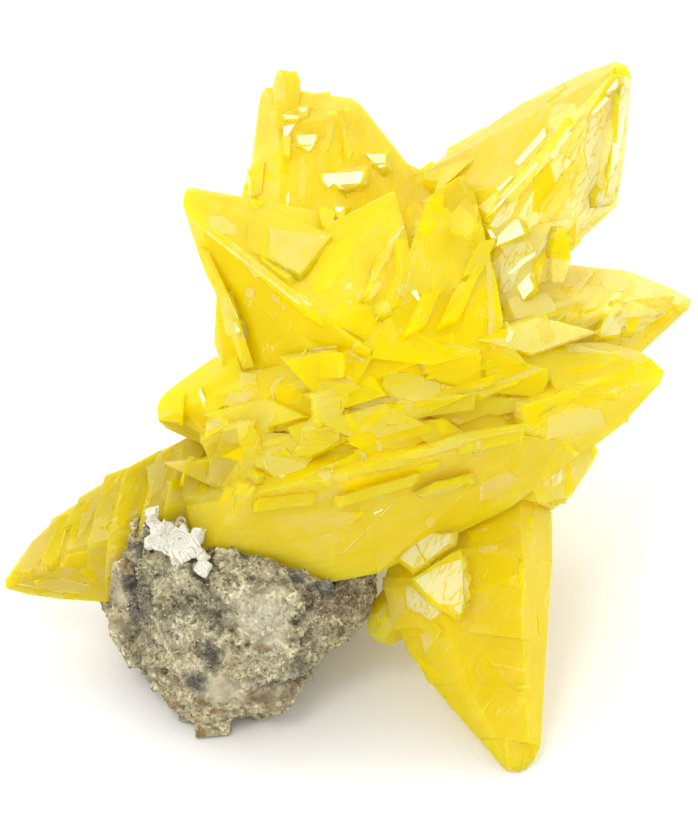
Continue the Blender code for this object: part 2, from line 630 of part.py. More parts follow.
def weld(bm):
    """Closes up edges shorter than a solid can be held to, where that leaves the skin closed."""
    again = True
    while again:
        again = False
        for edge in sorted(bm.edges, key=lambda e: e.calc_length()):
            if not edge.is_valid:
                continue
            if edge.calc_length() > WELD * MM:
                break
            near, far = edge.verts
            around = [{e.other_vert(v) for e in v.link_edges} for v in (near, far)]
            if len(around[0] & around[1]) == 2:
                bmesh.ops.collapse(bm, edges=[edge])
                again = True


def islands(bm):
    """The lists of joined vertices."""
    left, found = set(bm.verts), []
    while left:
        start = left.pop()
        group, front = {start}, [start]
        while front:
            for edge in front.pop().link_edges:
                for vert in edge.verts:
                    if vert in left:
                        left.discard(vert)
                        group.add(vert)
                        front.append(vert)
        found.append(group)
    return found


def keep_largest(bm):
    """Removes the loose splinters that a cut leaves."""
    groups = sorted(islands(bm), key=len)
    for group in groups[:-1]:
        bmesh.ops.delete(bm, geom=list(group), context="VERTS")


def calcite_corners():
    """Small clear blocks crowded on the rock's top left corner, where it meets the blades."""
    rng = random.Random(19)
    bed = [
        (-29.2, 32.6, 4.0), (-27.0, 31.6, 8.0), (-21.4, 29.0, 10.6), (-20.6, 27.0, 10.6),
        (-24.4, 25.4, 10.8),
        (-28.0, 27.6, 9.0), (-28.6, 30.0, 6.4), (-25, 29, 4), (-22, 27.4, 6),
    ]
    made = [bed]
    for row, count in enumerate(CALCITE_ROWS):
        for k in range(count):
            share = (k + 0.5 * (row % 2)) / (count - 1)
            x = -28.2 + 7.0 * share + rng.uniform(-0.5, 0.5)
            up = 32.2 - 3.2 * share - 2.1 * row + rng.uniform(-0.4, 0.4)
            out = 6.2 + 2.6 * share + 1.0 * row
            size = rng.uniform(2.3, 3.4)
            tip = (x + rng.uniform(-0.9, 0.9), up + rng.uniform(-0.2, 1.2), out + rng.uniform(0.8, 1.9))
            root = (x, up - 0.4, out - 1.8)
            made.append(spindle(root, tip, size, size * rng.uniform(0.7, 1.0), rng.uniform(0, 90), 0.5, 0.6))
    return made


# ---------------------------------------------------------------- assembly


def in_place(name, bm, target, look=None):
    """An object made from a mesh that is already in the row's frame."""
    mesh = bpy.data.meshes.new(name)
    bm.to_mesh(mesh)
    bm.free()
    obj = bpy.data.objects.new(name, mesh)
    target.objects.link(obj)
    if look:
        mesh.materials.append(look)
    return obj


def group_of(name, corner_lists, parent, gap=0.0):
    """A collection of hulls, each standing off by gap."""
    made = bpy.data.collections.new(name)
    parent.children.link(made)
    for k, corners in enumerate(corner_lists):
        link(f"{name}_{k}", hull_of(swollen(corners, gap) if gap else corners), made)
    return made


def joined_crystals(grown, helpers):
    pieces = [corners for corner_lists in grown.values() for corners in corner_lists]
    crystals = link("crystals", hull_of(heart()[0]), helpers)
    boolean(crystals, group_of("crystal_pieces", pieces, helpers), "UNION")
    return crystals


def crust_on(seats, blocks, helpers):
    """The clear crust, cut back from the crystals that it stands beside."""
    crust = link("crust", hull_of(blocks[0]), helpers)
    boolean(crust, group_of("crust_blocks", blocks[1:], helpers), "UNION")
    boolean(crust, seats, "DIFFERENCE")
    return crust


def rock_under(seats, blocks, helpers):
    """The rock, cut back from the crystals and the crust that sit on it."""
    rock = raw_rock(helpers)
    boolean(rock, seats, "DIFFERENCE", "MANIFOLD")
    boolean(rock, group_of("crust_seats", blocks, helpers, GAP), "DIFFERENCE", "MANIFOLD")
    return rock


def footprint_centre(solids):
    """The middle of the box round the solids, on its floor."""
    places = [v.co for bm in solids for v in bm.verts]
    low = Vector(min(p[i] for p in places) for i in range(3))
    high = Vector(max(p[i] for p in places) for i in range(3))
    return Vector(((low.x + high.x) / 2, (low.y + high.y) / 2, low.z))


def main():
    clear_scene()
    cluster = collection("sulfur_cluster_on_matrix")
    helpers = collection("helpers")
    grown = crystal_corners()
    seat_corners = [corners for name in SEAT_GROUPS for corners in grown[name]] + heart()
    seats = group_of("crystal_seats", seat_corners, helpers, GAP)
    blocks = calcite_corners()
    made = {
        "sulfur_crystals": (
            evaluated(joined_crystals(grown, helpers)),
            material("sulfur", SULFUR, 0.18, 0.6),
        ),
        "matrix_rock": (evaluated(rock_under(seats, blocks, helpers)), material("rock", ROCK_GREY, 0.9)),
        "calcite_crust": (
            evaluated(crust_on(seats, blocks, helpers)),
            material("calcite", CALCITE, 0.1, 0.8),
        ),
    }
    for bm, _ in made.values():
        cut_flat(bm)
        weld(bm)
        keep_largest(bm)
    origin = footprint_centre([bm for bm, _ in made.values()])
    for name, (bm, look) in made.items():
        bmesh.ops.translate(bm, verts=bm.verts, vec=-origin)
        in_place(name, bm, cluster, look)
    for helper in list(helpers.all_objects):
        bpy.data.objects.remove(helper)
    return origin


if __name__ == "__main__":
    main()
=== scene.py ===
"""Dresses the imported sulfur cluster: crystal skin with growth steps, grained rock and clear crust."""

import math
import random

import bmesh
import bpy
import numpy as np
from mathutils import Matrix, Vector, noise
from mathutils.bvhtree import BVHTree


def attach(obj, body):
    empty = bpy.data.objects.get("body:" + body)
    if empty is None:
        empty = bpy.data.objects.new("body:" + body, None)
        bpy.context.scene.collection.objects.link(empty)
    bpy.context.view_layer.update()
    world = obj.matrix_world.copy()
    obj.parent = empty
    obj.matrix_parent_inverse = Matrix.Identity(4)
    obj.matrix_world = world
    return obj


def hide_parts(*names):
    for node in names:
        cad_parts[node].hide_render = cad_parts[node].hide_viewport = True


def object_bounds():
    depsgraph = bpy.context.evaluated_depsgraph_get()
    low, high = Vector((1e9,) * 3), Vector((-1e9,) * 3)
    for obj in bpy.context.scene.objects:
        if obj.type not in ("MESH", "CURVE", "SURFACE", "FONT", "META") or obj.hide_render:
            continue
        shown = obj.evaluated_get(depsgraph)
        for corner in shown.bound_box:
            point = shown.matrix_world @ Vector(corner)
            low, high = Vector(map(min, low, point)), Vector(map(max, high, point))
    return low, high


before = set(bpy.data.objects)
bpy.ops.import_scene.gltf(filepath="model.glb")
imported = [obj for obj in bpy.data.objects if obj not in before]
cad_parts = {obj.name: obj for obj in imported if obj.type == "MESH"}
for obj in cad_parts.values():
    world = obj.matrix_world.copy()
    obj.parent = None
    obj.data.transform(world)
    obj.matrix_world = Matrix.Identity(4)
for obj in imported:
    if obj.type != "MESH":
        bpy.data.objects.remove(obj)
CAD_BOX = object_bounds()
noise.seed_set(5)  # so that noise_vector is the same in each run

MM = 0.001
LEAN = math.radians(40)  # how far the cluster's show face leans back, as in part.py
FACE_ORIGIN = Vector((-0.248, 34.665, 0.0))  # part.py's own origin, from the foot of the show face, mm
FACE_TO_WORLD = Matrix.Rotation(-LEAN, 3, "X") @ Matrix(((1, 0, 0), (0, 0, -1), (0, 1, 0)))
WORLD_TO_FACE = FACE_TO_WORLD.inverted()
OUT = FACE_TO_WORLD @ Vector((0, 0, 1))  # straight out of the show face
MIRROR = FACE_TO_WORLD @ Vector((-0.128, 0.153, 0.98)).normalized()  # a facet that mirrors the front light

PIXELS_PER_MM = 7.0
FRAME_PIXELS = (698, 825)
SHOW_CORNER = (350.0, 741.0)  # the show face's origin, in the picture's pixels
FRAME_CENTRE = (-0.1, 46.9)  # where the middle of the picture falls on the show face, mm
CAMERA_DISTANCE = 2.4  # m
SENSOR = 36.0  # mm

TENT_GAP_WAY = (0.0, 0.35, 0.94)  # the middle of the tent's dim side, on the show face
TENT_GAP = (0.2, 0.8)  # the cosines from there at which the tent starts and ends dimming
TENT_LIGHT = (1.95, 0.92)  # the tent's light away from the dim side and on it
LIT_POINT = Vector((0, 0, 0.035))
# Each light's way from there on the show face, its distance and its two sides in metres, and its radiance.
LIGHTS = {
    "top_light": ((0.05, 0.95, 0.30), 1.1, (0.6, 0.3), 2.0),
    "front_light": ((-0.25, 0.30, 0.92), 1.2, (0.36, 0.36), 7.5),
}
FLOOR_HALF, FLOOR_LEVEL = 3.0, -0.0004  # m

WELD = 1e-7  # m between corners that are one
SAME_PLANE = math.cos(math.radians(0.4))
SAME_OFFSET = 0.01  # mm between a step's plane and a face that belongs to it
ON_FACE = 0.004  # mm between a point and the face it lies on
RAY_START = 200.0  # mm in front of the show face
SPACING = 0.00002  # m between solids joined in one batch

STEP_ROOT = 0.8  # how deep a step's solid reaches below the face it stands on, mm
STEP_FLARE = 1.0  # how much wider it is down there, mm
STEP_RISE = 0.4  # the share of their listed rise that the placed steps stand proud
STEP_FACING = 0.2  # the least cosine between a placed step's face and the way to the viewer
WINDOW_RISE = 0.1  # mm
MIRROR_RISE = 0.15  # mm
FLAT_REACH = 0.5  # how far a step may stand off the faces round the one that carries it, mm
TILT_REACH = 1.5  # how far a facet turned to the mirror may, mm
STRAY = 1.7  # mm between the farthest corner of a step and the faces it grows on
SHRINKING = (1.0, 0.9, 0.8, 0.7, 0.6, 0.5, 0.4)  # the shares of a corner's reach that are tried

LEDGE_ROOT = 1.2  # how deep a scattered ledge's solid reaches below its face, mm
LEDGE_REACH = 0.8  # how far a scattered ledge may stand off the faces round it, mm
LEDGE_FACING = 0.25  # the least cosine between its face and the way to the viewer
LEDGE_STRAY = 3  # how much its sides' turns vary, degrees
LEDGE_UP = 0.4  # how far it may lean up, as a share of how far it may lean down
CLIPPED_LEDGES = 0.45  # the share of the ledges that have a corner cut off
CLIPPED_PART = (0.2, 0.6)  # how much of each side that takes
PATCH_SEED = 100
REAR_LEDGES = 420
REAR_SEED = 7
REAR_START = 0.2  # how far out the rays start that find rear ledges, m
REAR_SIDE, REAR_LOWEST = 0.35, -0.75  # how far such a ray may come from the viewer's side, and from below
REAR_FACING = 0.3  # the least cosine between the ray and the face
REAR_LENGTH = (1.5, 5.0)  # half a rear ledge's length, mm
REAR_WIDTH = (0.7, 2.2)  # half its width, mm
REAR_RISE = (0.1, 0.45)  # mm
REAR_LEAN = 5  # degrees
REAR_UPRIGHT = Vector((0.35, 0.1, 0.93))  # rear ledges lie across this way,
REAR_TURN = (0.25, 0.12)  # but for a turn, radians, with its spread,
REAR_SKEW = (0.45, 0.1)  # and their second side is turned further
CORNERS = ((-1, -1), (1, -1), (1, 1), (-1, 1))

BAND_SPACING = 4  # pixels between the places where the faces under a band are measured
BAND_LEVEL = 70  # the percentage of those places that lie below the band
BAND_STIFFNESS = 8  # pixels: a band narrower than this faces the viewer
BAND_REACH = 1.2  # mm between a band's corner and the face under it

LINE_RISE = 0.08  # mm
MIRRORING = math.cos(math.radians(5))  # from here on a bright line mirrors the front light
BRIGHT_EDGES = 0.4  # the share of the matte steps' edges that carry a bright line
EDGE_START, EDGE_END = (0, 0.9), (0.1, 1)  # where along an edge its line may start and end
SHORTEST_EDGE = 2.5  # pixels
EDGE_WIDTH = (0.8, 1.7)  # pixels
EDGE_SEED = 3

# Frost says what a face is like, from 0, clear and deep yellow, through 1, matte, to 2, pale and glassy.
POLISH = -1.0  # the frost of a polished facet
MATTE = 0.8  # from here on a step's edges may carry bright lines
GLASS = 2.0
PAINTED_HIGHLIGHT_FROST = 1.7  # of bright lines that can't mirror the light, painted pale: a painted highlight
EDGE_FROST = (0.2, 0.9)  # of the sides of all steps
OTHER_FROST = (0.55, 0.8)  # the middle and the spread on faces outside all areas
FACETS_APART = 25  # normals that differ by more than 1 in this many may have frosts of their own,
PLANES_APART = 0.2  # and so may parallel faces that lie this far apart, mm

ROCK_VOXEL = 0.34  # spacing of the rock skin's corners, mm
OCTAVE_FADE, OCTAVE_STEP = 0.9, 2.1  # how much weaker and finer each octave of noise is than the last
LUMPS = (0.26, 3, 0.40)  # features per mm, octaves of noise, and height in mm
CRUMBS = (1.15, 2, 0.22)
FINE_CRUMBS = (2.3, 1, 0.14)
CHUNKS = (0.16, 0.9)  # features per mm, and height in mm
SMALL_CHUNKS = (0.42, 0.38)
CHUNK_BEND = (1.7, 0.25)  # how finely and how far the chunks' cracks wander, in chunks
CHUNK_LEAN = 0.4  # how far a chunk's top leans
CHUNK_KEYS = (9.1, 5.3)  # uneven numbers that give each chunk a level and a lean of its own
CRACK_SHARPNESS, CRACK_DEPTH = 7.0, 0.15
MARK_FACING = (3.0, 0.6)  # how fast the marks fade where the rock turns away from the viewer, and where
MARK_EDGE = (1.6, 1.3)  # a mark fades from 0.46 to 1.23 of its half size
MARK_FRAY = (0.9, 3, 3.0)  # of the marks' edges: features per mm, octaves, and reach in pixels
REAR_STAINS = (0.22, 3)  # on the sides that the marks don't reach: features per mm and octaves
REAR_DARK = (3.0, -0.3, 0.8)  # how dark those sides are: times that noise, plus this, and at most
REAR_TAN = (-3.0, -0.7, 0.7)
SMOOTHING = 0.8  # how much of its small relief the smoothest mark loses
FOOT = (0.05, 1.2)  # the rock's relief starts that high, and is whole that much higher, mm
ROCK_GRAINS = 9000
GRAIN_SIZE = (0.08, 0.30)  # half a loose grain's length, mm
GRAIN_SLENDER = (0.2, 0.5)  # its two other half sizes, as shares of that length
GRAIN_UNEVEN = (0.7, 1.0)  # its shorter ends, as shares of the longer ones
GRAIN_LIFT = 0.25  # how far its middle stands off the rock, as a share of half its length
# Its faces by its corners: two ends along each of three ways.
GRAIN_FACES = ((4, 2, 0), (4, 1, 2), (4, 3, 1), (4, 0, 3), (5, 0, 2), (5, 2, 1), (5, 1, 3), (5, 3, 0))
GRAIN_FOOT = 0.8  # no loose grain below this height, mm
DARK_GRAINS = (0.16, 0.6)  # the share of dark grains on clean rock, and how many more on dark rock
TAN_GRAINS = (0.22, 0.5)  # the share of tan ones among the others, and how many more on tan rock
GRAIN_SEED = 11
CRUST_VOXEL = 0.16  # mm
CRUST_NOISE = (0.35, 2)  # features per mm and octaves
CRUST_TERRACES = 5.0  # contour steps per unit of that noise
TERRACE_STEEPNESS = 4.0
TERRACE_HEIGHT = 0.14  # mm
CRUST_RELIEF = 0.35  # the most that the crust's surface moves in or out, mm

# The sulfur's tint, clarity and roughness by half its frost.
SULFUR_TINTS = (
    (0.05, (0.92, 0.725, 0.0)),
    (0.22, (0.94, 0.745, 0.005)),
    (0.37, (0.98, 0.79, 0.045)),
    (0.52, (1.0, 0.82, 0.20)),
    (0.75, (1.0, 0.90, 0.34)),
    (1.00, (1.0, 0.95, 0.52)),
)
SULFUR_CLARITY = ((0.0, 0.25), (0.3, 0.40), (0.5, 0.42), (0.7, 0.32))  # light that passes in unscattered
SULFUR_ROUGHNESS = ((0.0, 0.06), (0.25, 0.22), (0.45, 0.42), (0.55, 0.40), (0.75, 0.10))
SULFUR_ABSORPTION = ((1.0, 1.0, 0.1), 160.0)  # the colour that passes, and the strength per metre
HAZE = (0.18, 0.26, 0.38)  # how much clouds, fine fibres and wide ones change the tint
STREAK_TINT = (0.96, 0.80, 0.07)  # soft streaks on pale faces
LINE_TINT = (0.84, 0.64, 0.03)  # deep growth lines on glassy faces
ROCK_TINTS = (
    (0.32, (0.16, 0.133, 0.068)),
    (0.46, (0.33, 0.286, 0.165)),
    (0.60, (0.51, 0.455, 0.275)),
    (0.76, (0.69, 0.63, 0.40)),
)
PALE_TINTS = ((0.3, (0.42, 0.38, 0.26)), (0.7, (0.62, 0.58, 0.43)))
TAN_TINTS = ((0.3, (0.20, 0.115, 0.035)), (0.7, (0.42, 0.29, 0.13)))
DARK_TINTS = ((0.35, (0.03, 0.028, 0.024)), (0.7, (0.15, 0.14, 0.125)))
SPECK_SHADES = ((0.0, 0.10), (0.25, 0.38), (0.7, 0.57), (1.0, 0.92))
CALCITE_TINTS = ((0.0, (0.58, 0.50, 0.26)), (0.16, (0.74, 0.68, 0.44)), (0.26, (0.98, 0.96, 0.86)))
# Loose grains: their two tints, roughness and metallic value.
GRAIN_LOOKS = {
    "grain_white": ((0.55, 0.53, 0.44), (0.92, 0.91, 0.86), 0.18, 0.0),
    "grain_dark": ((0.03, 0.03, 0.035), (0.16, 0.155, 0.15), 0.25, 0.6),
    "grain_tan": ((0.20, 0.14, 0.06), (0.46, 0.38, 0.22), 0.45, 0.0),
}
BLADE_FIBRES = (0.95, 0.30, 0.0)  # the ways of the fine streaks on the show face
CROWN_FIBRES = (0.48, 0.88, 0.0)

# Areas of growth steps: outline, number of ledges, their length and width, the turn of their two sides in
# degrees, how proud they stand, in millimetres, and how far they lean, in degrees. Places and sizes are in
# the show face's pixels.
PATCHES = [
    # left end of the upper blade: short slanting ledges
    ([(160, 420), (245, 375), (330, 375), (330, 470), (235, 520), (170, 500), (120, 480)],
     5, (16, 44), (10, 26), (64, 15), (0.02, 0.09), 3),
    # middle of the upper blade: broad pale ledges
    ([(300, 385), (400, 350), (520, 352), (560, 400), (430, 440), (330, 470)],
     4, (24, 70), (10, 26), (17, 62), (0.02, 0.09), 2.5),
    # right end of the upper blade: long narrow ledges
    ([(440, 345), (650, 355), (655, 375), (600, 400), (450, 450), (430, 430)],
     13, (40, 110), (7, 18), (16, 45), (0.02, 0.09), 2),
    # left wing: ledges across the crystal
    ([(5, 590), (60, 505), (175, 435), (240, 470), (150, 520), (105, 575), (95, 600)],
     16, (20, 60), (7, 18), (62, 24), (0.02, 0.09), 2.5),
    # crown: slanting flutes
    ([(340, 300), (430, 190), (470, 178), (500, 340), (380, 352)],
     16, (24, 90), (5, 14), (57, 10), (0.03, 0.1), 2.5),
    # tower: upright flutes
    ([(250, 90), (300, 80), (350, 95), (400, 160), (395, 205), (290, 210), (248, 195)],
     18, (20, 70), (6, 16), (84, 8), (0.01, 0.06), 1.5),
    # horn: broad faint growth plates
    ([(190, 200), (330, 225), (350, 300), (320, 345), (250, 365), (215, 300)],
     4, (20, 50), (8, 22), (-38, 55), (0.01, 0.04), 0.7),
    # clear blade: strips along the long edge
    ([(480, 230), (600, 80), (630, 70), (618, 205), (560, 250), (500, 290)],
     44, (30, 110), (5, 14), (52, 92), (0.06, 0.3), 7),
    # right crystal: strips towards the tip
    ([(500, 290), (560, 262), (640, 275), (690, 300), (630, 350), (520, 350)],
     50, (20, 70), (6, 16), (48, 10), (0.04, 0.2), 5),
    # lower right crystals: faint jagged ledges
    ([(370, 580), (470, 520), (550, 500), (552, 640), (530, 768), (430, 660), (380, 620)],
     14, (20, 60), (8, 22), (-22, 58), (0.01, 0.05), 1.2),
]

# Polished facets that mirror the front light, with a paler tint as a painted highlight: outlines in the show
# face's pixels.
MIRRORS = [
    [(314, 101), (331, 99), (330, 104), (324, 105), (317, 110), (313, 106)],
    [(299, 108), (307, 107), (307, 110), (301, 114)],
    [(283, 114), (299, 116), (298, 118), (286, 119)],
    [(284, 126), (295, 124), (289, 134), (285, 145), (283, 140)],
    [(297, 136), (317, 134), (314, 146), (309, 151), (304, 148), (298, 142)],
    [(366, 154), (385, 154), (386, 166), (380, 168), (374, 163)],
    [(324, 174), (364, 172), (361, 183), (340, 185), (344, 190), (333, 184), (329, 188), (323, 180)],
    [(320, 212), (335, 211), (330, 215), (336, 217), (328, 221), (337, 228), (330, 231), (321, 228)],
    [(335, 208), (346, 207), (341, 212), (338, 216)],
    [(287, 194), (290, 193), (289, 206), (286, 206)],
    [(584, 75), (584, 90), (576, 105), (563, 103)],
    [(544, 129), (547, 143), (523, 168), (514, 164)],
    [(512, 176), (513, 178), (499, 192), (496, 190)],
    [(617, 76), (617, 89), (607, 94), (601, 90)],
    [(602, 95), (609, 100), (594, 115), (581, 118)],
    [(581, 119), (593, 117), (595, 132), (600, 146), (598, 178), (592, 184), (586, 144), (570, 143),
     (567, 137)],
    [(620, 90), (628, 80), (626, 108), (615, 184), (608, 184), (613, 140)],
    [(536, 162), (539, 165), (501, 204), (488, 222), (488, 216)],
    [(485, 226), (518, 220), (529, 235), (495, 247)],
    [(513, 278), (528, 265), (530, 280), (541, 294), (523, 300)],
    [(497, 272), (535, 252), (535, 256), (510, 275)],
    [(240, 306), (244, 306), (245, 310), (241, 311)],
    [(237, 313), (241, 312), (241, 317), (238, 317)],
    [(235, 324), (240, 322), (241, 331), (237, 333)],
    [(411, 292), (416, 291), (420, 300), (418, 302)],
    [(196, 389), (201, 388), (212, 413), (207, 415)],
    [(150, 437), (160, 432), (166, 436), (158, 444)],
]

# Pale glassy windows: flush glassy facets, painted pale as a painted reflection of the lights.
PAINTED_SHEEN_WINDOWS = [
    [(400, 557), (415, 544), (420, 553), (425, 562), (413, 572)],
    [(417, 542), (430, 532), (440, 535), (451, 533), (452, 543), (427, 560), (421, 552)],
    [(412, 579), (440, 565), (465, 553), (467, 565), (463, 600), (452, 604), (439, 603), (424, 590)],
    [(466, 556), (469, 582), (462, 606), (459, 616), (453, 606), (464, 600)],
    [(406, 587), (416, 583), (430, 594), (437, 603), (444, 613), (431, 619), (422, 621), (407, 606)],
    [(545, 470), (562, 465), (562, 480), (552, 488)],
    [(500, 247), (520, 243), (530, 250), (520, 262), (506, 262)],
    [(535, 262), (548, 258), (556, 266), (555, 284), (546, 292), (538, 288)],
    [(500, 262), (512, 258), (520, 268), (512, 290), (500, 296)],
    [(590, 120), (600, 116), (598, 150), (590, 180), (584, 150)],
    [(568, 120), (578, 122), (570, 138), (556, 160), (548, 158)],
    [(500, 210), (516, 200), (512, 216), (498, 228), (490, 226)],
]

# Long flat bands over the upper blade: outline in the show face's pixels, and frost.
BANDS = [
    ([(292, 478), (322, 463), (340, 448), (372, 441), (425, 430), (440, 418), (480, 412), (496, 416),
      (470, 428),
      (420, 443), (370, 456), (330, 470)], 0.05),
    ([(330, 474), (380, 460), (440, 443), (500, 430), (536, 420), (536, 428), (500, 438), (450, 452),
      (400, 466),
      (350, 478)], 0.6),
    ([(386, 416), (400, 400), (384, 390), (392, 374), (412, 372), (440, 384), (475, 392), (474, 410),
      (430, 418),
      (395, 424)], 0.75),
    ([(475, 392), (540, 400), (520, 412), (495, 416), (474, 410)], 0.6),
    ([(424, 354), (480, 354), (480, 392), (440, 382), (424, 372)], 0.05),
    ([(486, 360), (545, 368), (548, 380), (540, 398), (484, 392)], 0.1),
    ([(552, 356), (600, 350), (640, 358), (648, 372), (620, 392), (560, 398), (550, 380)], 0.65),
    ([(302, 405), (310, 397), (345, 388), (350, 394), (340, 420), (340, 440), (312, 456), (298, 456),
      (302, 430)], 0.8),
    ([(258, 370), (300, 366), (312, 352), (345, 352), (370, 368), (345, 380), (300, 378), (262, 380)], 0.05),
    ([(205, 368), (238, 352), (252, 370), (240, 392), (226, 410), (214, 418), (206, 416), (198, 390)], 0.05),
    ([(222, 430), (250, 420), (262, 440), (256, 462), (240, 480), (210, 484), (208, 460), (218, 450)], 0.7),
    ([(258, 432), (298, 434), (318, 450), (306, 468), (280, 474), (256, 466)], 0.6),
    ([(345, 438), (384, 427), (430, 424), (432, 431), (392, 444), (350, 454)], 0.1),
    ([(196, 412), (220, 406), (236, 424), (222, 446), (204, 440)], 0.2),
    ([(362, 330), (376, 322), (392, 318), (398, 336), (386, 352), (366, 352)], 0.1),
    ([(395, 240), (409, 234), (413, 260), (404, 286), (396, 276)], 0.4),
    ([(500, 300), (520, 284), (560, 280), (575, 296), (560, 318), (510, 324)], 1.2),
]

# Steps that also close a gap beside them, so that they aren't drawn in: outline, frost and rise in mm.
FILLERS = [
    ([(262, 240), (269, 233), (266, 253), (268, 258), (292, 276), (288, 280), (262, 261)], 0.0, 0.06),
    ([(274, 436), (286, 434), (304, 452), (306, 462), (286, 462), (270, 448)], 0.7, 0.1),
]

# Bright edges and scratches: narrow facets turned to mirror the front light; those that can't are painted
# pale, a painted highlight. Both ends and the width, in the show face's pixels.
BRIGHT_LINES = [
    (206, 232, 300, 305, 2.2),
    (300, 300, 312, 306, 2.6),
    (311, 303, 324, 322, 4.5),
    (209, 226, 290, 290, 1.2),
    (208, 250, 238, 318, 1.6),
    (236, 322, 241, 333, 5.0),
    (243, 334, 246, 342, 2.0),
    (246, 345, 254, 368, 1.4),
    (255, 369, 297, 364, 1.4),
    (298, 362, 308, 349, 1.8),
    (309, 350, 337, 347, 2.2),
    (348, 352, 368, 364, 1.8),
    (366, 343, 383, 318, 2.0),
    (394, 232, 371, 299, 3.2),
    (404, 226, 388, 252, 2.4),
    (402, 262, 398, 300, 1.4),
    (471, 196, 484, 300, 1.6),
    (343, 553, 395, 501, 0.9),
    (387, 563, 402, 580, 2.0),
    (493, 663, 524, 670, 1.2),
    (252, 462, 272, 466, 1.6),
    (89, 519, 104, 498, 1.6),
    (18, 585, 60, 592, 1.6),
    (256, 369, 262, 372, 3.0),
    (618, 210, 600, 222, 2.2),
    (560, 240, 590, 226, 1.6),
    (500, 250, 497, 290, 1.6),
    (560, 205, 600, 190, 1.4),
    (640, 292, 676, 306, 2.0),
    (630, 330, 676, 308, 2.0),
    (596, 330, 640, 286, 2.0),
]

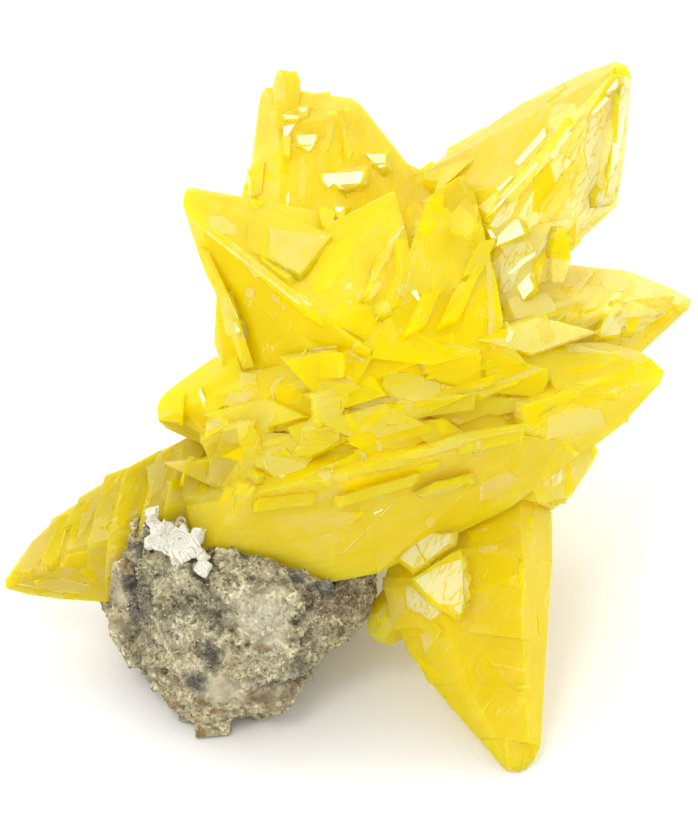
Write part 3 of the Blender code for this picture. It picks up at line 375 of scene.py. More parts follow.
# Marks on the rock: place, half length, half width and turn in degrees in the show face's pixels;
# then how dark, tan, pale and smooth the mark is, and how far it rises, in millimetres.
ROCK_MARKS = [
    (124, 572, 30, 5, -82, 0.9, 0.0, 0.0, 0.0, -0.45),
    (131, 610, 30, 6, -88, 1.0, 0.0, 0.0, 0.0, -0.45),
    (140, 600, 14, 32, 0, 0.55, 0.0, 0.0, 0.0, 0.0),
    (133, 550, 16, 12, 0, 0.45, 0.0, 0.0, 0.0, 0.0),
    (150, 528, 12, 18, 0, 0.35, 0.0, 0.0, 0.0, 0.1),
    (110, 585, 34, 11, -72, 0.15, 0.3, 0.1, 0.9, 0.35),
    (119, 622, 14, 8, -60, 0.1, 0.35, 0.2, 0.8, 0.2),
    (200, 556, 16, 13, -20, 0.45, 0.75, 0.0, 0.2, -0.2),
    (200, 576, 15, 2.6, -38, 0.9, 0.3, 0.0, 0.0, -0.6),
    (207, 588, 9, 2.2, 60, 0.9, 0.0, 0.0, 0.0, -0.5),
    (192, 566, 9, 2.0, -80, 0.8, 0.0, 0.0, 0.0, -0.4),
    (198, 600, 26, 16, 10, 0.5, 0.0, 0.0, 0.0, -0.1),
    (218, 620, 14, 16, 0, 0.55, 0.0, 0.0, 0.0, -0.1),
    (210, 655, 12, 22, 20, 0.75, 0.0, 0.0, 0.0, -0.25),
    (196, 683, 13, 13, 0, 0.85, 0.0, 0.0, 0.0, -0.25),
    (175, 608, 8, 20, -20, 0.35, 0.0, 0.0, 0.0, 0.0),
    (174, 560, 26, 18, 0, 0.0, 0.0, 0.3, 0.3, 0.1),
    (168, 575, 18, 8, 20, 0.0, 0.0, 0.4, 0.2, 0.1),
    (172, 632, 26, 14, 30, 0.0, 0.0, 0.35, 0.0, 0.2),
    (262, 612, 34, 26, -20, 0.0, 0.0, 0.8, 0.55, 0.35),
    (275, 640, 18, 10, 10, 0.0, 0.0, 0.85, 0.7, 0.3),
    (223, 690, 24, 14, -8, 0.0, 0.2, 0.8, 0.95, 0.4),
    (256, 660, 36, 10, 18, 0.0, 0.1, 0.35, 0.1, 0.1),
    (262, 648, 9, 3.2, 2, 0.15, 0.85, 0.0, 0.6, -0.25),
    (232, 665, 8, 16, 0, 0.0, 0.35, 0.2, 0.3, 0.1),
    (345, 600, 44, 22, -10, 0.35, 0.5, 0.0, 0.0, 0.0),
    (332, 594, 26, 7, 22, 0.6, 0.6, 0.0, 0.0, -0.3),
    (315, 606, 7, 4, 30, 1.0, 0.6, 0.0, 0.0, -0.7),
    (307, 595, 5, 3, 0, 0.8, 0.4, 0.0, 0.0, -0.4),
    (312, 643, 10, 8, 0, 0.65, 0.2, 0.0, 0.0, -0.2),
    (303, 618, 12, 6, 60, 0.4, 0.25, 0.0, 0.0, 0.0),
    (330, 640, 18, 8, 30, 0.2, 0.2, 0.1, 0.0, 0.2),
    (300, 668, 18, 5, 12, 0.45, 0.0, 0.0, 0.0, -0.15),
    (290, 674, 42, 2.6, 14, 0.0, 0.0, 0.8, 0.3, 0.35),
    (245, 688, 14, 3.0, 20, 0.0, 0.0, 0.7, 0.3, 0.3),
    (275, 692, 42, 10, 22, 0.25, 0.3, 0.0, 0.75, -0.3),
    (285, 682, 38, 2.5, 16, 0.6, 0.1, 0.0, 0.0, -0.5),
    (252, 694, 10, 4.5, 25, 0.4, 1.0, 0.0, 0.8, -0.25),
    (265, 701, 7, 4.0, 0, 0.45, 1.0, 0.0, 0.8, -0.4),
    (268, 711, 12, 3.5, 5, 0.1, 0.8, 0.0, 0.5, 0.0),
    (174, 681, 7.5, 6.5, 0, 0.45, 1.0, 0.0, 0.8, -0.55),
    (167, 706, 10, 7, -20, 0.1, 1.0, 0.0, 0.8, -0.1),
    (203, 703, 10, 5.5, -25, 0.2, 1.0, 0.0, 0.8, -0.2),
    (219, 712, 10, 4.5, 10, 0.2, 1.0, 0.0, 0.8, -0.2),
    (197, 717, 7, 3.0, 0, 0.1, 0.85, 0.0, 0.5, -0.2),
    (201, 734, 10, 6, 5, 0.0, 0.95, 0.0, 0.9, 0.0),
    (222, 738, 12, 3, 5, 0.0, 0.6, 0.0, 0.9, 0.0),
    (175, 658, 9, 5, 0, 0.3, 0.0, 0.0, 0.0, -0.2),
    (156, 578, 4, 2.5, 40, 0.8, 0.0, 0.0, 0.0, -0.4),
    (150, 547, 4, 4, 0, 0.8, 0.0, 0.0, 0.0, -0.4),
    (141, 527, 3, 3, 0, 0.8, 0.0, 0.0, 0.0, -0.4),
    (248, 646, 2.5, 3.5, 0, 0.9, 0.0, 0.0, 0.0, -0.4),
    (240, 648, 2, 3, 0, 0.9, 0.0, 0.0, 0.0, -0.4),
    (295, 621, 3.5, 3, 0, 0.8, 0.3, 0.0, 0.0, -0.4),
    (155, 650, 10, 7, 0, 0.0, 0.0, 0.4, 0.0, 0.2),
    (188, 668, 9, 6, 30, 0.0, 0.1, 0.45, 0.3, 0.2),
    (148, 640, 10, 3, -50, 0.5, 0.0, 0.0, 0.0, -0.2),
]

# Growth steps and colour patches, placed one by one: outline in the show face's pixels, frost, and rise in
# mm.
STEPS = [
    # right crystal, faces laid first
    ([(651, 306), (680, 307), (670, 323), (645, 338), (640, 325)], 0.1, 0.1),
    ([(624, 280), (650, 284), (684, 302), (680, 306), (650, 294), (622, 287)], 1.3, 0.1),
    ([(600, 300), (624, 288), (612, 334), (588, 342)], 1.3, 0.1),
    # left wing, faces laid first
    ([(134, 488), (140, 486), (126, 524), (119, 526)], 0.05, 0.1),
    ([(146, 478), (151, 476), (142, 512), (137, 514)], 0.05, 0.1),
    ([(189, 452), (196, 450), (182, 492), (175, 494)], 0.0, 0.1),
    ([(207, 446), (213, 444), (203, 470), (198, 472)], 0.0, 0.1),
    ([(84, 504), (92, 498), (84, 522), (74, 540), (69, 536)], 0.0, 0.1),
    ([(58, 528), (68, 518), (60, 550), (42, 572), (34, 568)], 1.0, 0.1),
    ([(92, 516), (112, 508), (108, 540), (88, 548)], 0.95, 0.1),
    ([(156, 470), (172, 462), (162, 490), (148, 498)], 1.0, 0.1),
    ([(58, 554), (98, 550), (98, 572), (60, 567)], 0.1, 0.1),
    # upper blade, left
    ([(241, 372), (256, 374), (258, 390), (247, 394), (238, 390)], 0.9, 0.15),
    ([(230, 392), (244, 392), (254, 398), (258, 404), (240, 410), (226, 410), (224, 404)], 0.95, 0.2),
    ([(206, 423), (220, 419), (223, 425), (208, 431), (202, 428)], 1.0, 0.2),
    ([(222, 430), (240, 420), (252, 422), (247, 436), (240, 441), (222, 447), (218, 448)], 0.85, 0.25),
    ([(217, 452), (243, 446), (244, 457), (238, 460), (222, 457)], 0.0, 0.05),
    ([(196, 436), (204, 432), (208, 437), (203, 455), (200, 462), (192, 460)], 0.75, 0.2),
    ([(214, 460), (238, 462), (240, 470), (232, 484), (222, 487), (208, 483), (207, 475)], 0.85, 0.2),
    ([(198, 462), (207, 461), (213, 464), (206, 470)], 0.0, 0.05),
    ([(245, 447), (256, 447), (256, 462), (250, 478), (241, 482), (236, 478), (243, 465)], 0.8, 0.3),
    ([(253, 470), (263, 467), (270, 472), (266, 479), (256, 480)], 0.0, 0.1),
    ([(237, 484), (250, 478), (250, 486), (244, 494), (236, 494)], 0.05, 0.05),
    ([(224, 490), (235, 488), (232, 498), (224, 505), (220, 500)], 0.05, 0.05),
    ([(237, 500), (252, 493), (253, 507), (246, 520), (236, 514)], 0.85, 0.15),
    ([(262, 452), (275, 446), (286, 450), (292, 458), (305, 468), (290, 474), (276, 478),
      (268, 470)], 0.95, 0.3),
    ([(256, 431), (268, 420), (270, 410), (277, 413), (272, 430), (262, 440), (252, 444)], 0.8, 0.25),
    ([(272, 388), (276, 381), (305, 380), (318, 396), (300, 404), (278, 413), (270, 405)], 0.05, 0.1),
    ([(254, 445), (290, 434), (296, 428), (296, 436), (280, 443), (256, 448)], 0.05, 0.1),
    ([(271, 405), (271, 388), (276, 380), (284, 376), (284, 379), (275, 388), (274, 404)], 1.0, 0.3),
    # upper blade, middle
    ([(308, 408), (314, 400), (340, 396), (340, 420), (322, 427), (309, 428)], 0.85, 0.2),
    ([(302, 430), (318, 429), (336, 433), (330, 443), (306, 440)], 0.75, 0.2),
    ([(305, 446), (330, 444), (345, 440), (333, 452), (310, 456), (298, 456), (295, 450)], 0.7, 0.25),
    ([(318, 384), (345, 382), (365, 386), (366, 392), (352, 392), (345, 398), (318, 396)], 0.6, 0.2),
    ([(352, 396), (365, 392), (400, 396), (386, 408), (372, 416), (358, 416), (352, 408)], 1.0, 0.25),
    ([(345, 412), (352, 417), (361, 432), (364, 438), (356, 434), (348, 424)], 0.0, 0.1),
    ([(362, 420), (386, 410), (384, 416), (366, 428), (362, 427)], 0.05, 0.05),
    ([(388, 415), (402, 406), (425, 403), (433, 408), (420, 414), (404, 424), (388, 424)], 0.95, 0.25),
    ([(382, 386), (390, 373), (412, 374), (425, 379), (440, 384), (440, 398), (415, 402),
      (400, 398)], 0.85, 0.25),
    ([(392, 405), (404, 404), (404, 410), (396, 412)], 0.0, 0.3),
    ([(332, 458), (350, 448), (400, 434), (414, 430), (412, 440), (380, 456), (345, 467),
      (333, 466)], 0.05, 0.1),
    ([(322, 468), (330, 463), (333, 470), (328, 480), (318, 476)], 1.0, 0.15),
    ([(280, 476), (305, 468), (318, 470), (300, 480), (284, 482)], 0.1, 0.05),
    ([(376, 441), (380, 440), (382, 450), (378, 454)], 1.0, 0.2),
    ([(359, 452), (365, 451), (367, 458), (361, 460)], 1.0, 0.2),
    ([(408, 405), (415, 402), (425, 401), (426, 405), (415, 408)], 0.0, 0.15),
    ([(343, 483), (400, 468), (478, 451), (479, 457), (440, 470), (391, 480), (345, 491)], 0.05, 0.08),
    ([(265, 500), (330, 492), (372, 486), (340, 498), (280, 508)], 0.15, 0.05),
    ([(298, 458), (322, 454), (350, 449), (336, 458), (322, 466), (300, 468)], 0.1, 0.1),
    ([(400, 500), (440, 486), (470, 480), (452, 492), (410, 508)], 0.9, 0.05),
    ([(300, 525), (345, 512), (392, 505), (350, 524), (310, 536)], 0.85, 0.05),
    ([(420, 448), (470, 436), (520, 428), (500, 440), (440, 456), (420, 458)], 0.05, 0.08),
    # upper blade, right
    ([(560, 372), (590, 366), (620, 356), (624, 360), (600, 368), (575, 375)], 0.0, 0.1),
    ([(540, 403), (560, 397), (575, 393), (576, 396), (560, 402), (545, 406)], 0.05, 0.1),
    ([(565, 404), (600, 396), (616, 394), (600, 400), (570, 408)], 0.2, 0.1),
    ([(522, 406), (540, 403), (545, 410), (538, 430), (520, 428), (522, 415)], 0.0, 0.08),
    ([(480, 440), (498, 426), (520, 416), (536, 419), (530, 424), (505, 432), (490, 439)], 0.1, 0.08),
    ([(456, 422), (480, 413), (498, 417), (480, 425), (460, 433), (430, 439), (424, 435)], 0.0, 0.1),
    ([(544, 418), (556, 410), (580, 407), (600, 410), (605, 425), (590, 437), (560, 444),
      (545, 440)], 0.65, 0.15),
    ([(562, 442), (568, 443), (580, 454), (576, 457), (564, 449)], 0.0, 0.2),
    ([(548, 466), (565, 463), (566, 500), (553, 502), (541, 482)], 0.95, 0.1),
    ([(566, 458), (570, 458), (571, 490), (567, 500)], 0.0, 0.15),
    ([(572, 460), (592, 452), (592, 462), (575, 488)], 0.95, 0.12),
    ([(606, 393), (614, 388), (621, 388), (616, 394), (608, 396)], 1.0, 0.15),
    ([(628, 386), (636, 382), (641, 384), (636, 389)], 1.0, 0.15),
    ([(504, 422), (512, 414), (518, 412), (514, 420)], 1.0, 0.15),
    # front blade
    ([(451, 419), (460, 419), (464, 421), (458, 423)], 1.0, 0.15),
    ([(475, 441), (480, 440), (481, 449), (476, 449)], 1.0, 0.15),
    ([(482, 482), (505, 471), (518, 478), (502, 498), (480, 500)], 0.95, 0.04),
    ([(424, 520), (432, 514), (436, 522), (428, 528)], 1.0, 0.1),
    # horn
    ([(271, 229), (318, 236), (328, 239), (318, 250), (300, 276), (285, 267), (269, 254)], 0.95, 0.12),
    ([(303, 277), (322, 248), (345, 238), (354, 238), (355, 246), (345, 271), (330, 288),
      (317, 297)], 0.0, 0.1),
    ([(226, 240), (262, 264), (296, 288), (310, 302), (314, 314), (298, 302), (262, 277),
      (230, 250)], 0.85, 0.2),
    ([(219, 292), (222, 344), (228, 350), (240, 345), (233, 320), (228, 300)], 0.9, 0.1),
    ([(246, 290), (250, 288), (255, 291), (255, 297), (250, 299), (246, 296)], 0.9, 0.25),
    ([(272, 296), (276, 294), (280, 298), (279, 304), (274, 303)], 1.0, 0.25),
    ([(282, 306), (286, 306), (287, 310), (283, 311)], 1.0, 0.2),
    ([(380, 306), (385, 302), (391, 306), (391, 313), (385, 316), (380, 312)], 1.0, 0.35),
    ([(345, 286), (352, 282), (352, 290), (346, 292)], 1.0, 0.2),
    ([(356, 297), (360, 293), (362, 300), (358, 304)], 1.0, 0.2),
    ([(347, 302), (352, 301), (352, 307), (348, 306)], 1.0, 0.2),
    ([(254, 200), (262, 198), (268, 204), (256, 207)], 0.2, 0.1),
    ([(206, 218), (222, 216), (236, 226), (238, 236), (222, 234), (210, 226)], 1.0, 0.15),
    # crown
    ([(394, 244), (398, 240), (386, 262), (376, 281), (372, 280), (382, 260)], 1.0, 0.3),
    ([(368, 297), (372, 285), (383, 281), (380, 290), (372, 300)], 1.0, 0.3),
    ([(402, 226), (398, 238), (385, 252), (386, 246), (394, 236)], 1.0, 0.3),
    ([(413, 264), (416, 266), (403, 298), (400, 296)], 0.95, 0.25),
    ([(417, 222), (430, 220), (437, 225), (430, 235), (424, 238), (419, 232)], 0.0, 0.1),
    ([(402, 212), (414, 206), (411, 218), (404, 220)], 0.0, 0.1),
    ([(429, 202), (443, 194), (443, 214), (432, 212)], 1.0, 0.1),
    ([(448, 196), (462, 184), (468, 190), (478, 220), (480, 258), (462, 262), (450, 232)], 0.75, 0.06),
    ([(458, 210), (461, 212), (464, 241), (473, 243), (472, 246), (461, 244)], 0.1, 0.12),
    ([(446, 199), (449, 200), (448, 209), (446, 208)], 0.1, 0.15),
    ([(485, 244), (489, 248), (493, 300), (495, 345), (490, 348), (487, 300)], 1.0, 0.2),
    ([(488, 322), (494, 318), (492, 336), (486, 344)], 1.0, 0.2),
    ([(420, 352), (448, 348), (476, 352), (478, 372), (456, 384), (424, 376)], 0.0, 0.06),
    ([(462, 305), (480, 303), (484, 330), (470, 338), (462, 330)], 0.0, 0.06),
    # left wing
    ([(14, 572), (30, 544), (52, 522), (59, 517), (52, 545), (42, 560), (30, 572)], 0.95, 0.15),
    ([(60, 517), (70, 515), (66, 535), (58, 558), (50, 568), (43, 562), (52, 545)], 0.05, 0.1),
    ([(72, 514), (80, 509), (84, 504), (86, 504), (80, 517), (74, 543), (64, 546), (68, 530)], 0.0, 0.15),
    ([(86, 499), (96, 496), (103, 491), (106, 496), (92, 515), (84, 530), (77, 538), (81, 517)], 0.95, 0.15),
    ([(102, 491), (114, 476), (122, 474), (116, 483), (106, 495)], 0.05, 0.1),
    ([(118, 487), (126, 476), (131, 474), (124, 490), (112, 520), (105, 528), (98, 525),
      (108, 505)], 0.85, 0.12),
    ([(113, 507), (118, 494), (122, 492), (116, 512), (108, 530), (105, 530)], 0.05, 0.2),
    ([(128, 480), (136, 476), (134, 492), (128, 508), (122, 523), (117, 523), (124, 500)], 0.05, 0.1),
    ([(142, 461), (152, 454), (160, 444), (176, 444), (168, 460), (158, 480), (150, 503),
      (140, 508)], 0.95, 0.12),
    ([(163, 454), (171, 447), (172, 452), (166, 462), (162, 462)], 0.0, 0.2),
    ([(170, 480), (180, 478), (182, 490), (172, 490)], 0.05, 0.1),
    ([(198, 484), (206, 483), (208, 488), (204, 493)], 0.05, 0.2),
    ([(52, 563), (60, 560), (64, 566), (56, 569)], 0.0, 0.15),
    ([(34, 583), (60, 579), (94, 588), (96, 595), (60, 593), (36, 588)], 1.0, 0.15),
    ([(80, 568), (96, 571), (97, 583), (86, 578)], 0.1, 0.1),
    # lower right crystals
    ([(478, 548), (490, 544), (497, 545), (498, 549), (484, 553)], 1.0, 0.15),
    ([(414, 575), (458, 547), (461, 551), (422, 577)], 0.0, 0.15),
    ([(400, 566), (404, 562), (413, 575), (405, 577)], 0.05, 0.05),
    ([(420, 634), (435, 627), (433, 640), (425, 654)], 0.95, 0.12),
    ([(456, 530), (462, 522), (480, 519), (504, 520), (514, 530), (500, 540), (470, 541)], 0.0, 0.06),
    ([(470, 556), (500, 552), (514, 566), (508, 580), (476, 592), (470, 576)], 0.05, 0.06),
    ([(516, 552), (523, 562), (525, 588), (518, 598)], 0.05, 0.15),
    ([(527, 517), (534, 516), (535, 528), (529, 530)], 0.0, 0.15),
    ([(414, 650), (422, 660), (436, 668), (442, 678), (430, 676), (418, 665)], 0.0, 0.12),
    ([(538, 616), (540, 617), (542, 634), (540, 633)], 0.0, 0.3),
    ([(376, 615), (387, 603), (391, 607), (379, 619)], 1.0, 0.3),
    ([(522, 684), (531, 683), (532, 688), (523, 688)], 0.0, 0.15),
    # clear blade
    ([(547, 122), (552, 109), (562, 104), (574, 105), (576, 112), (568, 124), (556, 135),
      (548, 136)], 1.3, 0.3),
    ([(597, 113), (602, 106), (607, 112), (603, 138), (597, 132)], 1.6, 0.3),
    ([(563, 148), (574, 165), (572, 182), (566, 176), (562, 160)], GLASS, 0.2),
    ([(588, 196), (600, 191), (615, 193), (611, 205), (593, 209)], GLASS, 0.2),
    ([(617, 92), (627, 86), (622, 148), (616, 148)], GLASS, 0.2),
    ([(612, 152), (623, 152), (617, 196), (607, 196)], GLASS, 0.15),
    ([(535, 180), (550, 165), (556, 190), (545, 212), (532, 212)], 0.1, 0.1),
    ([(545, 238), (556, 233), (575, 232), (580, 244), (562, 250), (552, 254)], 0.0, 0.1),
    ([(548, 218), (560, 207), (572, 210), (570, 225), (556, 232)], 1.3, 0.15),
    ([(500, 204), (524, 188), (530, 192), (512, 212), (500, 222), (494, 218)], 1.7, 0.2),
    ([(532, 264), (540, 256), (552, 256), (558, 268), (555, 284), (546, 292), (536, 286)], 1.6, 0.5),
    ([(503, 249), (516, 243), (530, 242), (534, 250), (520, 262), (506, 262)], 1.7, 0.3),
    # right crystal
    ([(558, 264), (608, 270), (600, 284), (562, 288)], 0.9, 0.1),
    ([(600, 279), (612, 273), (632, 275), (627, 291), (607, 291)], 1.2, 0.15),
    ([(613, 301), (627, 287), (625, 312), (620, 334), (601, 337), (599, 330)], 1.6, 0.2),
    ([(574, 301), (606, 291), (598, 310), (580, 329), (568, 334), (566, 316)], 0.0, 0.15),
    ([(537, 324), (547, 319), (555, 339), (547, 344), (541, 340)], 1.0, 0.15),
    ([(627, 307), (648, 303), (657, 305), (640, 318), (633, 343), (625, 335)], 0.0, 0.15),
    ([(628, 284), (650, 282), (676, 296), (655, 300), (632, 296)], 1.2, 0.15),
    ([(546, 346), (571, 341), (569, 351), (551, 352)], 0.0, 0.1),
    ([(505, 322), (510, 322), (514, 334), (511, 343), (504, 343)], GLASS, 0.2),
    # tower
    ([(274, 70), (282, 68), (286, 84), (284, 100), (276, 100)], 0.95, 0.1),
    ([(326, 112), (338, 102), (344, 100), (334, 122), (329, 150), (325, 150)], 0.85, 0.08),
    ([(256, 172), (274, 170), (276, 180), (258, 184)], 0.0, 0.06),
    ([(300, 160), (306, 152), (306, 196), (299, 200)], 0.85, 0.05),
    ([(345, 108), (352, 104), (356, 140), (350, 160), (344, 150)], 0.8, 0.05),
    ([(272, 152), (280, 150), (282, 168), (276, 172)], 0.0, 0.06),
]

# How frosted the remaining faces of an area are: the middle and the spread. The first area that fits counts.
FROST_AREAS = [
    ([(240, 60), (400, 60), (425, 210), (240, 215)], 0.72, 0.25),
    ([(203, 232), (300, 306), (368, 352), (312, 346), (253, 368)], 0.0, 0.05),
    ([(195, 190), (255, 195), (330, 235), (360, 239), (349, 270), (320, 320), (203, 232)], 0.55, 0.2),
    ([(162, 400), (200, 360), (250, 352), (250, 380), (200, 424), (160, 425)], 0.05, 0.1),
    ([(320, 300), (420, 300), (500, 300), (500, 390), (320, 385)], 0.1, 0.2),
    ([(360, 240), (420, 190), (490, 190), (500, 300), (320, 320)], 0.55, 0.4),
    ([(200, 440), (640, 380), (600, 440), (420, 580), (300, 580), (190, 530)], 0.6, 0.25),
    ([(400, 620), (530, 520), (560, 520), (545, 790), (490, 790), (400, 650)], 0.55, 0.2),
    ([(5, 590), (60, 505), (175, 435), (240, 470), (150, 520), (105, 600)], 0.7, 0.5),
    ([(600, 100), (635, 60), (625, 215), (585, 225), (585, 190), (598, 140)], 1.8, 0.6),
    ([(495, 290), (500, 250), (560, 250), (560, 300)], 1.4, 0.8),
    ([(470, 150), (590, 60), (615, 58), (590, 85), (485, 205), (470, 200)], 0.8, 0.15),
    ([(480, 250), (485, 200), (590, 85), (605, 95), (590, 200), (560, 240), (500, 250)], 1.3, 1.0),
    ([(560, 255), (605, 262), (690, 290), (690, 310), (640, 330), (600, 290), (560, 290)], 1.15, 0.8),
    ([(500, 290), (600, 290), (640, 330), (620, 355), (500, 350)], 1.1, 0.8),
]

# Painted shade: how much darker the sulfur's tint is made in an area, for the shade that falls there; 1 is
# not at all.
PAINTED_SHADE_AREAS = [
    ([(203, 232), (300, 306), (368, 352), (312, 346), (253, 368)], 0.86),
    ([(0, 600), (0, 560), (150, 430), (240, 430), (200, 540), (100, 610)], 0.72),
    ([(370, 560), (560, 500), (560, 790), (430, 700)], 0.90),
    ([(200, 480), (300, 470), (480, 430), (560, 440), (440, 570), (300, 570), (200, 520)], 0.92),
    ([(650, 280), (700, 280), (700, 325), (655, 335)], 0.92),
    ([(240, 60), (400, 60), (420, 210), (240, 210)], 0.94),
    ([(440, 210), (470, 150), (590, 60), (615, 58), (590, 85), (485, 205)], 0.85),
]

# Where the fine streaks run along the crown's and not along the blades'.
STEEP_AREAS = [
    [(185, 180), (240, 60), (400, 60), (480, 130), (640, 50), (640, 220), (500, 300), (500, 350), (250, 370)],
    [(5, 590), (60, 505), (175, 435), (240, 470), (150, 520), (105, 575)],
    [(380, 560), (560, 520), (550, 780), (430, 700)],
]


# ---------------------------------------------------------------- frames and small tools


def to_world(x, up, out):
    """A point of the show face, in millimetres, in the row's frame, in metres."""
    return (FACE_TO_WORLD @ Vector((x, up, out)) - FACE_ORIGIN) * MM


def to_face(point):
    """A point of the row's frame, in metres, on the show face, in millimetres."""
    return WORLD_TO_FACE @ (Vector(point) / MM + FACE_ORIGIN)


def in_scene(name, data):
    """A new object of the scene that shows the data."""
    obj = bpy.data.objects.new(name, data)
    bpy.context.scene.collection.objects.link(obj)
    return obj


def node_mesh(node):
    """A CAD node's mesh, welded."""
    bm = bmesh.new()
    bm.from_mesh(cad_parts[node].data)
    bmesh.ops.remove_doubles(bm, verts=bm.verts, dist=WELD)
    return bm


def new_object(name, bm, look):
    mesh = bpy.data.meshes.new(name)
    bm.to_mesh(mesh)
    bm.free()
    mesh.materials.append(look)
    return in_scene(name, mesh)


def evaluated(obj):
    """A new mesh: the object's with its modifiers applied."""
    return bpy.data.meshes.new_from_object(obj.evaluated_get(bpy.context.evaluated_depsgraph_get()))


# ---------------------------------------------------------------- materials


class Nodes:
    """Builds one material's node tree with short calls."""

    def __init__(self, name):
        self.material = bpy.data.materials.new(name)
        self.material.use_nodes = True
        self.tree = self.material.node_tree
        self.shader = self.tree.nodes["Principled BSDF"]
        self.output = self.tree.nodes["Material Output"]
        self.place = self.add("ShaderNodeTexCoord").outputs["Object"]

    def add(self, kind, **values):
        node = self.tree.nodes.new(kind)
        for key, value in values.items():
            setattr(node, key, value)
        return node

    def link(self, source, target):
        self.tree.links.new(source, target)

    def feed(self, socket, value):
        if isinstance(value, bpy.types.NodeSocket):
            self.link(value, socket)
        else:
            socket.default_value = value

    def math(self, operation, a, b=0.0, c=0.0):
        node = self.add("ShaderNodeMath", operation=operation)
        for socket, value in zip(node.inputs, (a, b, c)):
            self.feed(socket, value)
        return node.outputs[0]

    def attribute(self, name):
        return self.add("ShaderNodeAttribute", attribute_name=name)

    def split(self, colour):
        """A colour's three parts."""
        node = self.add("ShaderNodeSeparateColor")
        self.link(colour, node.inputs[0])
        return node.outputs

    def noise(self, scale, detail, rough=0.5, distortion=0.0, place=None):
        """Noise with that many features a metre, or a unit of the place that is given."""
        node = self.add("ShaderNodeTexNoise")
        self.link(place or self.place, node.inputs["Vector"])
        node.inputs["Scale"].default_value = scale
        node.inputs["Detail"].default_value = detail
        node.inputs["Roughness"].default_value = rough
        node.inputs["Distortion"].default_value = distortion
        return node.outputs["Fac"]

    def drawn_out(self, direction, scale, stretch):
        """Object coordinates in units of 1/scale metres, drawn out along a direction of the show face."""
        along = (FACE_TO_WORLD @ Vector(direction)).normalized()
        side = along.orthogonal().normalized()
        place = self.add("ShaderNodeCombineXYZ")
        for k, axis in enumerate((along / stretch, side, along.cross(side))):
            part = self.add("ShaderNodeVectorMath", operation="DOT_PRODUCT")
            part.inputs[1].default_value = axis * scale
            self.link(self.place, part.inputs[0])
            self.link(part.outputs["Value"], place.inputs[k])
        return place.outputs[0]

    def fibres(self, steep, scale, stretch):
        """Noise drawn out along the crown's streaks, or along the blades' where steep is given and is 0."""
        place = self.drawn_out(CROWN_FIBRES, scale, stretch)
        if steep:
            place = self.mix(steep, self.drawn_out(BLADE_FIBRES, scale, stretch), place)
        return self.noise(1.0, 3.0, 0.6, place=place)

    def cells(self, scale):
        """A random colour in each of the cells, with that many a metre."""
        node = self.add("ShaderNodeTexVoronoi")
        self.link(self.place, node.inputs["Vector"])
        node.inputs["Scale"].default_value = scale
        return node.outputs["Color"]

    def ramp(self, value, *stops):
        """A colour ramp. Each stop is (place, colour) or (place, grey)."""
        node = self.add("ShaderNodeValToRGB")
        points = node.color_ramp.elements
        while len(points) < len(stops):
            points.new(0.5)
        for point, (place, colour) in zip(points, stops):
            point.position = place
            point.color = (colour, colour, colour, 1) if isinstance(colour, (int, float)) else (*colour, 1)
        self.link(value, node.inputs["Fac"])
        return node.outputs["Color"]

    def mix(self, share, a, b, blend="MIX"):
        node = self.add("ShaderNodeMix", data_type="RGBA", blend_type=blend)
        self.feed(node.inputs[0], share)
        for socket, value in ((node.inputs[6], a), (node.inputs[7], b)):
            self.feed(socket, (*value, 1) if isinstance(value, tuple) and len(value) == 3 else value)
        return node.outputs[2]

    def bump(self, height, strength, distance_mm, normal=None):
        node = self.add("ShaderNodeBump")
        node.inputs["Strength"].default_value = strength
        node.inputs["Distance"].default_value = distance_mm * MM
        self.link(height, node.inputs["Height"])
        if normal:
            self.link(normal, node.inputs["Normal"])
        return node.outputs["Normal"]

    def absorb(self, colour, density):
        node = self.add("ShaderNodeVolumeAbsorption")
        node.inputs["Color"].default_value = (*colour, 1)
        node.inputs["Density"].default_value = density
        self.link(node.outputs["Volume"], self.output.inputs["Volume"])


def etched(n, tint, half, steep):
    """The tint with fine wavy growth lines: pale ones here and there, deep ones and streaks on pale faces."""
    wide = n.fibres(steep, 300.0, 5.0)
    bright = n.ramp(n.math("FRACT", n.math("MULTIPLY", wide, 4.0)), (0.0, 0.45), (0.12, 0.0))
    here = n.ramp(n.noise(260.0, 2.0), (0.48, 0.0), (0.58, 1.0))
    tint = n.mix(n.math("MULTIPLY", bright, here), tint, SULFUR_TINTS[-2][1])
    streaks = n.ramp(n.fibres(None, 330.0, 6.0), (0.50, 0.0), (0.58, 0.85))
    streaked = n.ramp(half, (0.58, 0.0), (0.65, 1.0), (0.93, 1.0), (0.97, 0.0))
    tint = n.mix(n.math("MULTIPLY", streaks, streaked), tint, STREAK_TINT)
    close = n.fibres(None, 420.0, 5.0)
    deep = n.ramp(n.math("FRACT", n.math("MULTIPLY", close, 6.0)), (0.0, 1.0), (0.28, 0.0))
    glassy = n.ramp(half, (0.58, 0.0), (0.7, 1.0))
    return n.mix(n.math("MULTIPLY", deep, glassy), tint, LINE_TINT)


